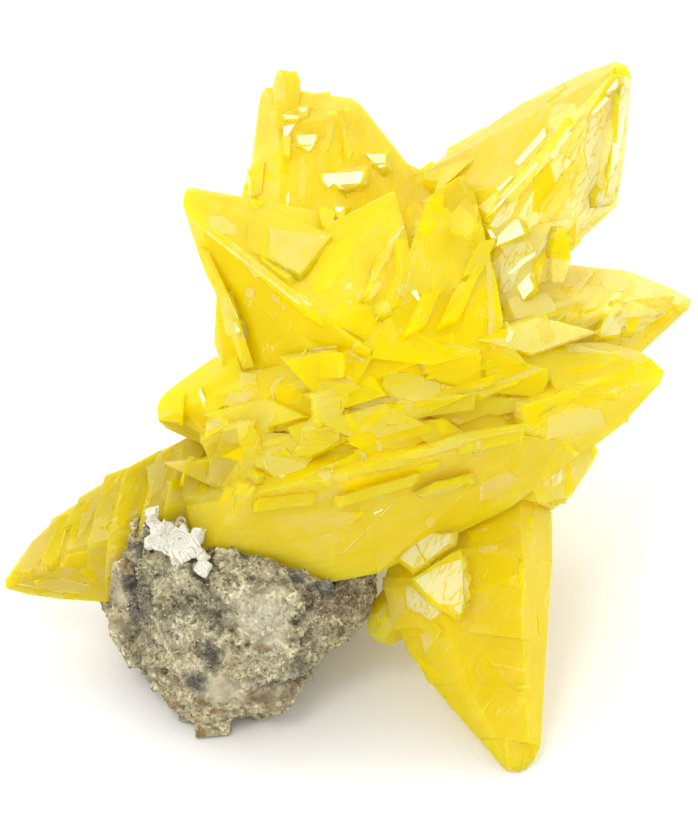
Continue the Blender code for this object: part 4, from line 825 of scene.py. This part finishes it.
def sulfur_look(name, polished=False):
    """Frosted faces are matte and paler; clear ones are deep yellow. Polished ones mirror the lights, and
    their tint is also made paler: a painted highlight. The shade attribute darkens areas: painted shade.
    """
    n = Nodes(name)
    shader = n.shader.inputs
    frost, shade, steep = (n.attribute(name).outputs["Fac"] for name in ("frost", "shade", "steep"))
    half = n.math("MULTIPLY", n.math("ABSOLUTE", frost), 0.5)
    # Polished facets get a paler tint: a painted highlight on top of their real reflection.
    pale = n.math("ADD", half, 0.35) if polished else half
    haze = pale
    patterns = n.noise(240.0, 4.0, 0.6), n.fibres(steep, 1500.0, 14.0), n.fibres(steep, 480.0, 9.0)
    for pattern, amount in zip(patterns, HAZE):
        haze = n.math("MULTIPLY_ADD", n.math("SUBTRACT", pattern, 0.5), amount, haze)
    # The shade attribute darkens the tint by area: painted shade.
    tint = n.mix(1.0, n.ramp(haze, *SULFUR_TINTS), shade, "MULTIPLY")
    n.link(etched(n, tint, pale, steep), shader["Base Color"])
    n.link(n.ramp(pale, *SULFUR_CLARITY), shader["Transmission Weight"])
    shader["IOR"].default_value = 1.38
    shader["Subsurface Weight"].default_value = 0.9
    shader["Subsurface Radius"].default_value = (1.0, 0.85, 0.08)
    shader["Subsurface Scale"].default_value = 4.0 * MM
    if polished:
        shader["Roughness"].default_value = 0.04
        shader["Specular IOR Level"].default_value = 1.0
        shader["Coat Weight"].default_value = 0.3
    else:
        n.link(n.ramp(half, *SULFUR_ROUGHNESS), shader["Roughness"])
        shader["Specular IOR Level"].default_value = 0.08
    grain = n.noise(2600.0, 3.0, 0.6)
    n.link(n.bump(grain, 0.03 if polished else 0.10, 0.10), shader["Normal"])
    n.absorb(*SULFUR_ABSORPTION)
    return n.material


def rock_look():
    """Grey-beige crystalline rock. The stain attribute holds how dark, tan and pale each place is."""
    n = Nodes("rock")
    shader = n.shader.inputs
    dark, tan, pale = n.split(n.attribute("stain").outputs["Color"])
    smooth = n.attribute("smooth").outputs["Fac"]
    clouds = n.noise(420.0, 5.0, 0.65)
    base = n.ramp(clouds, *ROCK_TINTS)
    for share, tints in ((pale, PALE_TINTS), (tan, TAN_TINTS), (dark, DARK_TINTS)):
        base = n.mix(share, base, n.ramp(clouds, *tints))
    speck = n.split(n.cells(2300.0))
    grainy = n.math("SUBTRACT", 0.7, n.math("MULTIPLY", smooth, 0.62))
    base = n.mix(grainy, base, n.ramp(speck[0], *SPECK_SHADES), "OVERLAY")
    n.link(base, shader["Base Color"])
    n.link(n.ramp(speck[1], (0.0, 0.35), (0.3, 0.8), (1.0, 0.9)), shader["Roughness"])
    shader["Specular IOR Level"].default_value = 0.4
    coarse = n.bump(n.noise(900.0, 4.0, 0.7), 0.6, 0.45)
    n.link(n.bump(n.noise(3400.0, 2.0, 0.6), 0.6, 0.12, coarse), shader["Normal"])
    return n.material


def grain_look(name, low, high, roughness, metallic):
    """The look of loose grains: each a shade between low and high."""
    n = Nodes(name)
    shader = n.shader.inputs
    shade = n.noise(900.0, 2.0)
    n.link(n.ramp(shade, (0.35, low), (0.65, high)), shader["Base Color"])
    shader["Roughness"].default_value = roughness
    shader["Metallic"].default_value = metallic
    return n.material


def calcite_look():
    """Clear, faintly warm crust, milky in places."""
    n = Nodes("calcite")
    shader = n.shader.inputs
    milk = n.noise(500.0, 3.0, 0.6)
    contour = n.math("FRACT", n.math("MULTIPLY", n.noise(170.0, 2.0, 0.5, 0.6), 26.0))
    n.link(n.ramp(contour, *CALCITE_TINTS), shader["Base Color"])
    shader["Transmission Weight"].default_value = 0.35
    shader["IOR"].default_value = 1.5
    shader["Coat Weight"].default_value = 0.4
    n.link(n.ramp(milk, (0.4, 0.03), (0.75, 0.25)), shader["Roughness"])
    n.link(n.bump(n.noise(1300.0, 3.0, 0.6), 0.25, 0.15), shader["Normal"])
    return n.material


def floor_look():
    """A matt, nearly white floor."""
    n = Nodes("floor")
    n.shader.inputs["Base Color"].default_value = (0.93, 0.925, 0.915, 1)
    n.shader.inputs["Roughness"].default_value = 0.9
    n.shader.inputs["Specular IOR Level"].default_value = 0.1
    return n.material


# ---------------------------------------------------------------- growth steps


class Surface:
    """The sulfur's faces, struck by rays."""

    def __init__(self, bm):
        self.tree = BVHTree.FromBMesh(bm)

    def seen_at(self, px, py):
        """(point, normal) of the face seen at a place of the show face, in its pixels from the corner."""
        return self.struck(to_world(*show(px, py), RAY_START), -OUT)

    def struck(self, start, direction):
        point, normal, _, _ = self.tree.ray_cast(start, direction)
        return (point, normal) if point else None

    def supports(self, solid):
        """True where every corner of the solid lies near a face, so that no part of it stands out alone."""
        return all(self.tree.find_nearest(corner.co)[3] < STRAY * MM for corner in solid.verts)

    def holds(self, point):
        """True where the point lies on a face."""
        return self.tree.find_nearest(point)[3] < ON_FACE * MM

    def carries(self, corners, normal, reach):
        """True where the surface lies within reach below or above every corner."""
        for corner in corners:
            hit = self.struck(corner + normal * reach, -normal)
            if not hit or (hit[0] - corner).length > reach:
                return False
        return True


def show(px, py):
    """A place in the show face's pixels, in millimetres."""
    return (px - SHOW_CORNER[0]) / PIXELS_PER_MM, (SHOW_CORNER[1] - py) / PIXELS_PER_MM


def sight(px, py):
    """A point on the line of sight at a place of the show face."""
    return to_world(*show(px, py), 0.0)


def lifted(px, py, point, normal):
    """Where the line of sight at (px, py) meets the plane through point with that normal."""
    start = sight(px, py)
    return start + OUT * ((point - start).dot(normal) / OUT.dot(normal))


def leaned(normal, right, up):
    """The normal turned by degrees, so that it faces further right and up on the show face."""
    turn = Matrix.Rotation(math.radians(right), 3, FACE_TO_WORLD @ Vector((0, 1, 0)))
    rise = Matrix.Rotation(math.radians(-up), 3, FACE_TO_WORLD @ Vector((1, 0, 0)))
    return (rise @ turn @ normal).normalized()


def prism(top, depth, flare=0.0):
    """A closed solid under the polygon top, reaching depth (a vector) below it and widening by flare."""
    bm = bmesh.new()
    middle = sum(top, Vector()) / len(top)
    upper = [bm.verts.new(p) for p in top]
    lower = [bm.verts.new(p + depth + (p - middle).normalized() * flare) for p in top]
    bm.faces.new(upper)
    bm.faces.new(lower[::-1])
    for k, corner in enumerate(upper):
        after = (k + 1) % len(upper)
        bm.faces.new((upper[after], corner, lower[k], lower[after]))
    bmesh.ops.triangulate(bm, faces=bm.faces)
    bmesh.ops.recalc_face_normals(bm, faces=bm.faces)
    return bm


def placed_step(surface, outline, frost, rise, facing=None, reach=FLAT_REACH):
    """(solid, top) of a step with that outline, on the face seen at the outline's middle. The top is
    (normal, offset, frost), by which its faces are found once the step is joined on."""
    middle = [sum(c) / len(outline) for c in zip(*outline)]
    hit = surface.seen_at(*middle)
    if not hit:
        return None
    point, normal = hit
    plane = facing or normal
    if plane.dot(OUT) < STEP_FACING:
        return None
    outline = confined(surface, outline, middle, point, plane, reach)
    point = point + normal * rise * MM
    top = [lifted(x, y, point, plane) for x, y in outline]
    solid = prism(top, -normal * (rise + STEP_ROOT) * MM, STEP_FLARE * MM)
    return solid, (plane, point.dot(plane), frost)


def band(surface, outline, frost):
    """(solid, top) of a flat band laid over the uneven faces seen inside the outline: the plane is fitted to
    their depths, and is steep only along the band's length."""
    (left, right), (top, bottom) = ((int(min(c)), int(max(c))) for c in zip(*outline))
    grid = [(x, y) for x in range(left, right, BAND_SPACING) for y in range(top, bottom, BAND_SPACING)]
    seen = [(x, y, surface.seen_at(x, y)) for x, y in grid if inside((x, y), outline)]
    spots = np.array([(x, y) for x, y, hit in seen if hit])
    depths = np.array([hit[0].dot(OUT) for _, _, hit in seen if hit])
    middle = spots.mean(axis=0)
    offsets = spots - middle
    spread = offsets.T @ offsets + len(spots) * BAND_STIFFNESS ** 2 * np.eye(2)
    slopes = np.linalg.solve(spread, offsets.T @ (depths - depths.mean()))
    over = depths - depths.mean() - offsets @ slopes
    level = float(np.percentile(over, BAND_LEVEL))
    across, down = (sight(*(middle + step)) - sight(*middle) for step in np.eye(2))
    plane = (across + OUT * slopes[0]).cross(down + OUT * slopes[1]).normalized()
    plane = -plane if plane.dot(OUT) < 0 else plane
    start = sight(*middle)
    point = start + OUT * (float(depths.mean()) + level - start.dot(OUT))
    outline = confined(surface, outline, list(middle), point, plane, BAND_REACH)
    rim = [lifted(x, y, point, plane) for x, y in outline]
    depth = level - float(over.min()) + STEP_ROOT * MM
    return prism(rim, -plane * depth), (plane, point.dot(plane), frost)


def confined(surface, outline, middle, point, plane, reach):
    """The outline with each corner drawn in to where the surface lies within reach, in mm, of the plane."""
    corners = []
    for corner in outline:
        for share in SHRINKING:
            spot = [m + (c - m) * share for c, m in zip(corner, middle)]
            hit = surface.seen_at(*spot)
            if hit and (hit[0] - lifted(*spot, point, plane)).length < reach * MM:
                break
        corners.append(spot)
    return corners


def bright_line(surface, x0, y0, x1, y1, width):
    """(solid, top) of a narrow facet along a line, turned as far towards the mirror as the line allows. Where
    it still can't mirror the front light it is painted pale: a painted highlight.
    """
    ends = [surface.seen_at(x, y) for x, y in ((x0, y0), ((x0 + x1) / 2, (y0 + y1) / 2), (x1, y1))]
    if not all(ends):
        return None
    along = ends[2][0] - ends[0][0]
    if (ends[1][0] - ends[0][0] - along / 2).length > FLAT_REACH * MM:
        return None
    along.normalize()
    plane = (MIRROR - along * MIRROR.dot(along)).normalized()
    across = Vector((y1 - y0, x0 - x1)).normalized() * width / 2
    corners = ((x0, y0, 1), (x1, y1, 1), (x1, y1, -1), (x0, y0, -1))
    outline = [(x + side * across.x, y + side * across.y) for x, y, side in corners]
    point = ends[0][0] + plane * LINE_RISE * MM
    top = [lifted(x, y, point, plane) for x, y in outline]
    # Lines that can't mirror the front light are painted pale instead: a painted highlight.
    frost = POLISH if plane.dot(MIRROR) > MIRRORING else PAINTED_HIGHLIGHT_FROST
    return prism(top, -plane * STEP_ROOT * MM), (plane, point.dot(plane), frost)


def bright_edges():
    """Fine bright lines along parts of the matte steps' edges."""
    rng = random.Random(EDGE_SEED)
    lines = []
    for outline, frost, _ in STEPS:
        for (x0, y0), (x1, y1) in zip(outline, outline[1:] + outline[:1]):
            if frost < MATTE or rng.random() > BRIGHT_EDGES:
                continue
            start, end = sorted((rng.uniform(*EDGE_START), rng.uniform(*EDGE_END)))
            far = [(x0 + (x1 - x0) * t, y0 + (y1 - y0) * t) for t in (start, end)]
            if math.dist(*far) > SHORTEST_EDGE:
                lines.append((*far[0], *far[1], rng.uniform(*EDGE_WIDTH)))
    return lines


def ledge(rng, surface, spot, lengths, widths, grain, rises, lean):
    """One thin ledge of a patch of growth steps: a parallelogram with its sides turned as grain says."""
    hit = surface.seen_at(*spot)
    if not hit:
        return None
    point, normal = hit
    if normal.dot(OUT) < LEDGE_FACING:
        return None
    length = rng.uniform(*lengths) / 2
    width = rng.uniform(*widths) / 2
    turns = [math.radians(rng.gauss(angle, LEDGE_STRAY)) for angle in grain]
    first, second = [(math.cos(t), -math.sin(t)) for t in turns]
    outline = [
        tuple(s + a * length * f + b * width * g for s, f, g in zip(spot, first, second)) for a, b in CORNERS
    ]
    if rng.random() < CLIPPED_LEDGES:
        outline = clipped(rng, outline)
    rise = rng.uniform(*rises) * MM
    tilt = leaned(normal, rng.uniform(-lean, lean), rng.uniform(-lean, lean * LEDGE_UP))
    flat = [lifted(x, y, point, normal) for x, y in outline]
    if not surface.carries(flat, normal, LEDGE_REACH * MM):
        return None
    point = point + normal * rise
    top = [lifted(x, y, point, tilt) for x, y in outline]
    return prism(top, -normal * (rise + LEDGE_ROOT * MM)), (tilt, point.dot(tilt), None)


def clipped(rng, outline):
    """The outline with one corner cut off."""
    k = rng.randrange(len(outline))
    before, corner, after = outline[k - 1], outline[k], outline[(k + 1) % len(outline)]
    cut = [
        tuple(c + (o - c) * share for c, o in zip(corner, other))
        for other, share in ((before, rng.uniform(*CLIPPED_PART)), (after, rng.uniform(*CLIPPED_PART)))
    ]
    return outline[:k] + cut + outline[k + 1 :]


def inside(spot, polygon):
    """True where the spot lies in the polygon: a ray from it crosses an odd number of sides."""
    x, y = spot
    odd = False
    for (x0, y0), (x1, y1) in zip(polygon, polygon[1:] + polygon[:1]):
        if (y0 > y) != (y1 > y) and x < (x1 - x0) * (y - y0) / (y1 - y0) + x0:
            odd = not odd
    return odd


def patch_ledges(surface, seed, area, count, *shape):
    """The ledges of one patch: those of so many spots that fall inside its area."""
    rng = random.Random(seed)
    xs, ys = zip(*area)
    made = []
    for _ in range(count):
        spot = (rng.uniform(min(xs), max(xs)), rng.uniform(min(ys), max(ys)))
        if inside(spot, area):
            made.append(ledge(rng, surface, spot, *shape))
    return made


def rear_ledges(surface):
    """Ledges on the faces that look away from the show face, each found by a ray from outside."""
    rng = random.Random(REAR_SEED)
    made = []
    while len(made) < REAR_LEDGES:
        direction = Vector([rng.gauss(0, 1) for _ in range(3)]).normalized()
        if direction.dot(OUT) > REAR_SIDE or direction.z < REAR_LOWEST:
            continue
        target = Vector([rng.uniform(low, high) for low, high in zip(*CAD_BOX)])
        hit = surface.struck(target + direction * REAR_START, -direction)
        if not hit or hit[1].dot(OUT) > LEDGE_FACING or hit[1].dot(direction) < REAR_FACING:
            continue
        made.append(rear_ledge(rng, surface, *hit))
    return made


def rear_ledge(rng, surface, point, normal):
    grain = normal.cross(REAR_UPRIGHT).normalized()
    grain = Matrix.Rotation(rng.gauss(*REAR_TURN), 3, normal) @ grain
    across = normal.cross(grain)
    across = Matrix.Rotation(rng.gauss(*REAR_SKEW), 3, normal) @ across
    half = grain * rng.uniform(*REAR_LENGTH) * MM, across * rng.uniform(*REAR_WIDTH) * MM
    flat = [point + half[0] * a + half[1] * b for a, b in CORNERS]
    if not surface.carries(flat, normal, LEDGE_REACH * MM):
        return None
    tilt = Matrix.Rotation(math.radians(rng.uniform(-REAR_LEAN, REAR_LEAN)), 3, grain) @ normal
    rise = rng.uniform(*REAR_RISE) * MM
    top = [p + normal * (rise - (p - point).dot(tilt) / tilt.dot(normal)) for p in flat]
    return prism(top, -normal * (rise + LEDGE_ROOT * MM)), (tilt, top[0].dot(tilt), None)


# ---------------------------------------------------------------- joining


def sorted_apart(solids):
    """The solids in batches in which no two boxes touch."""
    batches = []
    for bm in solids:
        corners = [v.co for v in bm.verts]
        low = [min(c[k] for c in corners) - SPACING for k in range(3)]
        high = [max(c[k] for c in corners) + SPACING for k in range(3)]
        for batch in batches:
            if not any(all(low[k] < h[k] and l[k] < high[k] for k in range(3)) for l, h, _ in batch):
                batch.append((low, high, bm))
                break
        else:
            batches.append([(low, high, bm)])
    return [[bm for _, _, bm in batch] for batch in batches]


def merged(solids):
    """One mesh of all the solids, which are freed."""
    mesh = bpy.data.meshes.new("batch")
    out = bmesh.new()
    for bm in solids:
        bm.to_mesh(mesh)
        out.from_mesh(mesh)
        bm.free()
    out.to_mesh(mesh)
    out.free()
    return mesh


def join(base, solids):
    """Adds the solids to the base object's mesh."""
    for batch in sorted_apart(solids):
        other = in_scene("batch", merged(batch))
        step = base.modifiers.new("step", "BOOLEAN")
        step.operation = "UNION"
        step.solver = "MANIFOLD"
        step.object = other
        shape = evaluated(base)
        base.modifiers.clear()
        base.data = shape
        bpy.data.objects.remove(other)


# ---------------------------------------------------------------- crystals


def frost_faces(mesh, tops, surface):
    """Gives each flat facet its own share of frost, the steps' sides theirs, and the polished their look."""
    normals = np.array([face.normal for face in mesh.polygons])
    centres = np.array([face.center for face in mesh.polygons])
    planes = np.array([top[0] for top in tops])
    offsets = np.array([top[1] for top in tops])
    near = (normals @ planes.T > SAME_PLANE) & (np.abs(centres @ planes.T - offsets) < SAME_OFFSET * MM)
    frosts = []
    for face, row in zip(mesh.polygons, near):
        found = np.flatnonzero(row)
        frost = tops[found[-1]][2] if len(found) else None
        if frost is None:
            frost = frost_of(face, bool(len(found)) or surface.holds(face.center))
        frosts.append(frost)
        face.material_index = 1 if frost < 0 else 0
    # Painted shade, darker by area, goes to the shade attribute.
    painted_shades = [area_value(face, PAINTED_SHADE_AREAS, 1.0) for face in mesh.polygons]
    steep = [area_value(face, [(area, 1.0) for area in STEEP_AREAS], 0.0) for face in mesh.polygons]
    for name, numbers in (("frost", frosts), ("shade", painted_shades), ("steep", steep)):
        mesh.attributes.new(name, "FLOAT", "FACE").data.foreach_set("value", numbers)


def frost_of(face, broad):
    """The frost of a face of no placed step: its area's, a share from its own plane, or that of sides."""
    plane = [round(c * FACETS_APART) for c in face.normal]
    plane += [round(face.center.dot(face.normal) / (PLANES_APART * MM))]
    chance = random.Random(str(plane)).random()
    if not broad:
        return EDGE_FROST[0] + (EDGE_FROST[1] - EDGE_FROST[0]) * chance
    areas = [(area, (middle, spread)) for area, middle, spread in FROST_AREAS]
    middle, spread = area_value(face, areas, OTHER_FROST)
    return max(0.0, middle + spread * (chance - 0.5))


def area_value(face, areas, default):
    """What the first of the areas that holds the face says."""
    x, up, _ = to_face(face.center)
    spot = (SHOW_CORNER[0] + x * PIXELS_PER_MM, SHOW_CORNER[1] - up * PIXELS_PER_MM)
    for area, value in areas:
        if face.normal.dot(OUT) > 0 and inside(spot, area):
            return value
    return default


def crystal_skin():
    """The crystals with their bands first and then all other steps, each on the faces it was placed on."""
    bm = node_mesh("sulfur_crystals")
    surface = Surface(bm)
    skin = new_object("sulfur_skin", bm, sulfur_look("sulfur"))
    skin.data.materials.append(sulfur_look("sulfur_polished", polished=True))
    bands = [band(surface, *entry) for entry in BANDS]
    join(skin, [solid for solid, _ in bands])
    bm = bmesh.new()
    bm.from_mesh(skin.data)
    surface = Surface(bm)
    bm.free()
    placed = [s for k, patch in enumerate(PATCHES) for s in patch_ledges(surface, PATCH_SEED + k, *patch)]
    placed += rear_ledges(surface)
    placed += [placed_step(surface, outline, frost, rise * STEP_RISE) for outline, frost, rise in STEPS]
    placed += [placed_step(surface, *filler, reach=math.inf) for filler in FILLERS]
    # The windows: glassy facets painted pale, a painted reflection.
    placed += [placed_step(surface, outline, GLASS, WINDOW_RISE) for outline in PAINTED_SHEEN_WINDOWS]
    placed += [placed_step(surface, outline, POLISH, MIRROR_RISE, MIRROR, TILT_REACH) for outline in MIRRORS]
    placed += [bright_line(surface, *line) for line in BRIGHT_LINES + bright_edges()]
    placed = [step for step in placed if step and surface.supports(step[0])]
    join(skin, [solid for solid, _ in placed])
    frost_faces(skin.data, [top for _, top in bands + placed], surface)
    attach(skin, "root")
    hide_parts("sulfur_crystals")


# ---------------------------------------------------------------- rock and crust


def remeshed(node, name, look, voxel_mm):
    """A copy of a CAD node with corners evenly spaced."""
    skin = new_object(name, node_mesh(node), look)
    grid = skin.modifiers.new("grid", "REMESH")
    grid.mode = "VOXEL"
    grid.voxel_size = voxel_mm * MM
    mesh = evaluated(skin)
    skin.modifiers.clear()
    skin.data = mesh
    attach(skin, "root")
    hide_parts(node)
    return skin


def vertex_arrays(mesh):
    """The places and the normals of the mesh's corners."""
    places = np.empty(len(mesh.vertices) * 3)
    normals = np.empty(len(mesh.vertices) * 3)
    mesh.vertices.foreach_get("co", places)
    mesh.vertex_normals.foreach_get("vector", normals)
    return places.reshape(-1, 3), normals.reshape(-1, 3)


def move_to(mesh, places):
    mesh.vertices.foreach_set("co", places.ravel())
    mesh.update()


def noise_at(places, per_mm, octaves, height=1.0):
    """Fractal noise at each place, from about -1 to 1 times the height, with that many features a mm."""
    spots = [Vector(place) * (per_mm / MM) for place in places]
    return height * np.array([noise.fractal(spot, OCTAVE_FADE, OCTAVE_STEP, octaves) for spot in spots])


def chunks_at(places, per_mm, height):
    """Heights that are nearly level over angular chunks, with cracks between them."""
    heights = []
    for place in places:
        spot = Vector(place) * (per_mm / MM)
        spot += noise.noise_vector(spot * CHUNK_BEND[0]) * CHUNK_BEND[1]
        reach, centres = noise.voronoi(spot)
        whole = min(1.0, (reach[1] - reach[0]) * CRACK_SHARPNESS)
        level = noise.cell(centres[0] * CHUNK_KEYS[0]) - 0.5
        lean = (spot - centres[0]).dot(noise.cell_vector(centres[0] * CHUNK_KEYS[1]))
        heights.append(level * whole + lean * CHUNK_LEAN - CRACK_DEPTH * (1.0 - whole))
    return height * np.array(heights)


def show_pixels(places):
    """Where each place lies on the show face, in its pixels."""
    face = places @ np.array(WORLD_TO_FACE.transposed()) / MM
    corner = np.array(WORLD_TO_FACE @ FACE_ORIGIN)
    x = SHOW_CORNER[0] + (face[:, 0] + corner[0]) * PIXELS_PER_MM
    y = SHOW_CORNER[1] - (face[:, 1] + corner[1]) * PIXELS_PER_MM
    return x, y


def rock_marks(places, normals):
    """How dark, tan, pale, smooth and raised the rock is at each place, and how far it faces the viewer."""
    x, y = show_pixels(places)
    x = x + noise_at(places, *MARK_FRAY)
    y = y + noise_at(places + 0.01, *MARK_FRAY)
    facing = np.clip(normals @ np.array(OUT) * MARK_FACING[0] + MARK_FACING[1], 0.0, 1.0)
    marks = np.zeros((len(places), 5))
    for px, py, length, width, turn, *kinds in ROCK_MARKS:
        c, s = math.cos(math.radians(turn)), math.sin(math.radians(turn))
        along = (c * (x - px) - s * (y - py)) / length
        across = (s * (x - px) + c * (y - py)) / width
        share = np.clip(MARK_EDGE[0] - MARK_EDGE[1] * np.hypot(along, across), 0.0, 1.0) * facing
        kinds = np.array(kinds)
        marks = marks * (1 - share[:, None] * (np.abs(kinds) > 0)) + share[:, None] * kinds
    return marks, facing


def rock_skin():
    """The rock with its stains as a colour attribute, its relief and its loose grains."""
    skin = remeshed("matrix_rock", "rock_skin", rock_look(), ROCK_VOXEL)
    places, normals = vertex_arrays(skin.data)
    marks, facing = rock_marks(places, normals)
    patches = noise_at(places, *REAR_STAINS)
    hidden = 1.0 - facing
    for column, (slope, start, most) in enumerate((REAR_DARK, REAR_TAN)):
        stains = hidden * np.clip(patches * slope + start, 0, most)
        marks[:, column] = np.maximum(marks[:, column], stains)
    stain = np.ones((len(places), 4))
    stain[:, :3] = marks[:, :3]
    skin.data.color_attributes.new("stain", "FLOAT_COLOR", "POINT").data.foreach_set("color", stain.ravel())
    skin.data.attributes.new("smooth", "FLOAT", "POINT").data.foreach_set("value", marks[:, 3])

    rough = 1.0 - SMOOTHING * marks[:, 3]
    chunks = chunks_at(places, *CHUNKS) + chunks_at(places, *SMALL_CHUNKS) * rough
    crumbs = (noise_at(places, *CRUMBS) + noise_at(places + 0.03, *FINE_CRUMBS)) * rough
    height = noise_at(places, *LUMPS) + chunks + crumbs + marks[:, 4]
    height *= np.clip((places[:, 2] / MM - FOOT[0]) / FOOT[1], 0, 1)
    places = places + normals * (height * MM)[:, None]
    places[:, 2] = np.maximum(places[:, 2], 0.0)
    move_to(skin.data, places)
    rock_grains(skin, marks)


def rock_grains(skin, marks):
    """Tiny crystals that stand on the rock: bright ones, and dark ones where it is dark."""
    rng = random.Random(GRAIN_SEED)
    mesh = skin.data
    points, faces, looks = [], [], []
    for _ in range(ROCK_GRAINS):
        face = mesh.polygons[rng.randrange(len(mesh.polygons))]
        dark, tan, pale, smooth, _ = marks[face.vertices[0]]
        if face.center.z < GRAIN_FOOT * MM or rng.random() < smooth:
            continue
        looks += [grain_kind(rng, dark, tan)] * len(GRAIN_FACES)
        first = len(points)
        points += grain_corners(rng, face.center, face.normal)
        faces += [[first + k for k in corner] for corner in GRAIN_FACES]
    grains = bpy.data.meshes.new("rock_grains")
    grains.from_pydata(points, [], faces)
    for name, look in GRAIN_LOOKS.items():
        grains.materials.append(grain_look(name, *look))
    grains.polygons.foreach_set("material_index", looks)
    obj = in_scene("rock_grains", grains)
    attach(obj, "root")


def grain_corners(rng, centre, normal):
    """An octahedron of uneven reach, half sunk in the rock."""
    size = rng.uniform(*GRAIN_SIZE) * MM
    way = Vector([rng.gauss(0, 1) for _ in range(3)]).normalized()
    side = way.orthogonal().normalized()
    third = way.cross(side)
    reach = size, size * rng.uniform(*GRAIN_SLENDER), size * rng.uniform(*GRAIN_SLENDER)
    middle = centre + normal * size * GRAIN_LIFT
    corners = []
    for axis, half in zip((way, side, third), reach):
        corners += [middle - axis * half * rng.uniform(*GRAIN_UNEVEN), middle + axis * half]
    return [tuple(c) for c in corners]


def grain_kind(rng, dark, tan):
    """0 for a bright grain, 1 for a dark one and 2 for a tan one."""
    if rng.random() < DARK_GRAINS[0] + DARK_GRAINS[1] * dark:
        return 1
    return 2 if rng.random() < TAN_GRAINS[0] + TAN_GRAINS[1] * tan else 0


def calcite_skin():
    """The clear crust, with its surface stepped like contour lines."""
    skin = remeshed("calcite_crust", "calcite_skin", calcite_look(), CRUST_VOXEL)
    places, normals = vertex_arrays(skin.data)
    field = (noise_at(places, *CRUST_NOISE) + 1.0) * CRUST_TERRACES
    steps = np.floor(field) + np.clip((field - np.floor(field)) * TERRACE_STEEPNESS, 0, 1)
    height = np.clip(TERRACE_HEIGHT * (steps - steps.mean()), -CRUST_RELIEF, CRUST_RELIEF)
    move_to(skin.data, places + normals * (height * MM)[:, None])


# ---------------------------------------------------------------- stage


def make_stage():
    mesh = bpy.data.meshes.new("floor")
    mesh.from_pydata([(a * FLOOR_HALF, b * FLOOR_HALF, FLOOR_LEVEL) for a, b in CORNERS], [], [(0, 1, 2, 3)])
    mesh.materials.append(floor_look())
    in_scene("floor", mesh)
    studio_world()
    for name, light in LIGHTS.items():
        softbox(name, *light)


def studio_world():
    """A white tent round the object, dimmer on the side where the camera looks in."""
    world = bpy.data.worlds.new("studio")
    bpy.context.scene.world = world
    world.use_nodes = True
    tree = world.node_tree
    place = tree.nodes.new("ShaderNodeTexCoord").outputs["Generated"]
    toward = tree.nodes.new("ShaderNodeVectorMath")
    toward.operation = "DOT_PRODUCT"
    toward.inputs[1].default_value = (FACE_TO_WORLD @ Vector(TENT_GAP_WAY)).normalized()
    tree.links.new(place, toward.inputs[0])
    level = tree.nodes.new("ShaderNodeMapRange")
    level.interpolation_type = "SMOOTHSTEP"
    for socket, value in zip(level.inputs[1:5], TENT_GAP + TENT_LIGHT):
        socket.default_value = value
    tree.links.new(toward.outputs["Value"], level.inputs[0])
    tree.nodes["Background"].inputs["Color"].default_value = (1, 1, 1, 1)
    tree.links.new(level.outputs[0], tree.nodes["Background"].inputs["Strength"])


def softbox(name, toward, distance, size, radiance):
    """A flat light that way from the object, where toward is (x, up, out) on the show face."""
    data = bpy.data.lights.new(name, "AREA")
    data.shape = "RECTANGLE"
    data.size, data.size_y = size
    data.energy = radiance * math.pi * size[0] * size[1]
    light = in_scene(name, data)
    way = (FACE_TO_WORLD @ Vector(toward)).normalized()
    light.location = LIT_POINT + way * distance
    light.rotation_euler = (-way).to_track_quat("-Z", "Y").to_euler()


def make_camera():
    data = bpy.data.cameras.new("camera")
    camera = in_scene("camera", data)
    data.sensor_width = SENSOR
    tall = FRAME_PIXELS[1] / PIXELS_PER_MM * MM
    data.lens = data.sensor_width * CAMERA_DISTANCE / tall
    data.clip_end = 20.0
    turn = FACE_TO_WORLD.to_4x4()
    camera.matrix_world = Matrix.Translation(to_world(*FRAME_CENTRE, CAMERA_DISTANCE / MM)) @ turn
    bpy.context.scene.camera = camera
    bpy.context.scene.view_settings.view_transform = "Standard"


def main():
    make_camera()
    make_stage()
    crystal_skin()
    rock_skin()
    calcite_skin()


main()
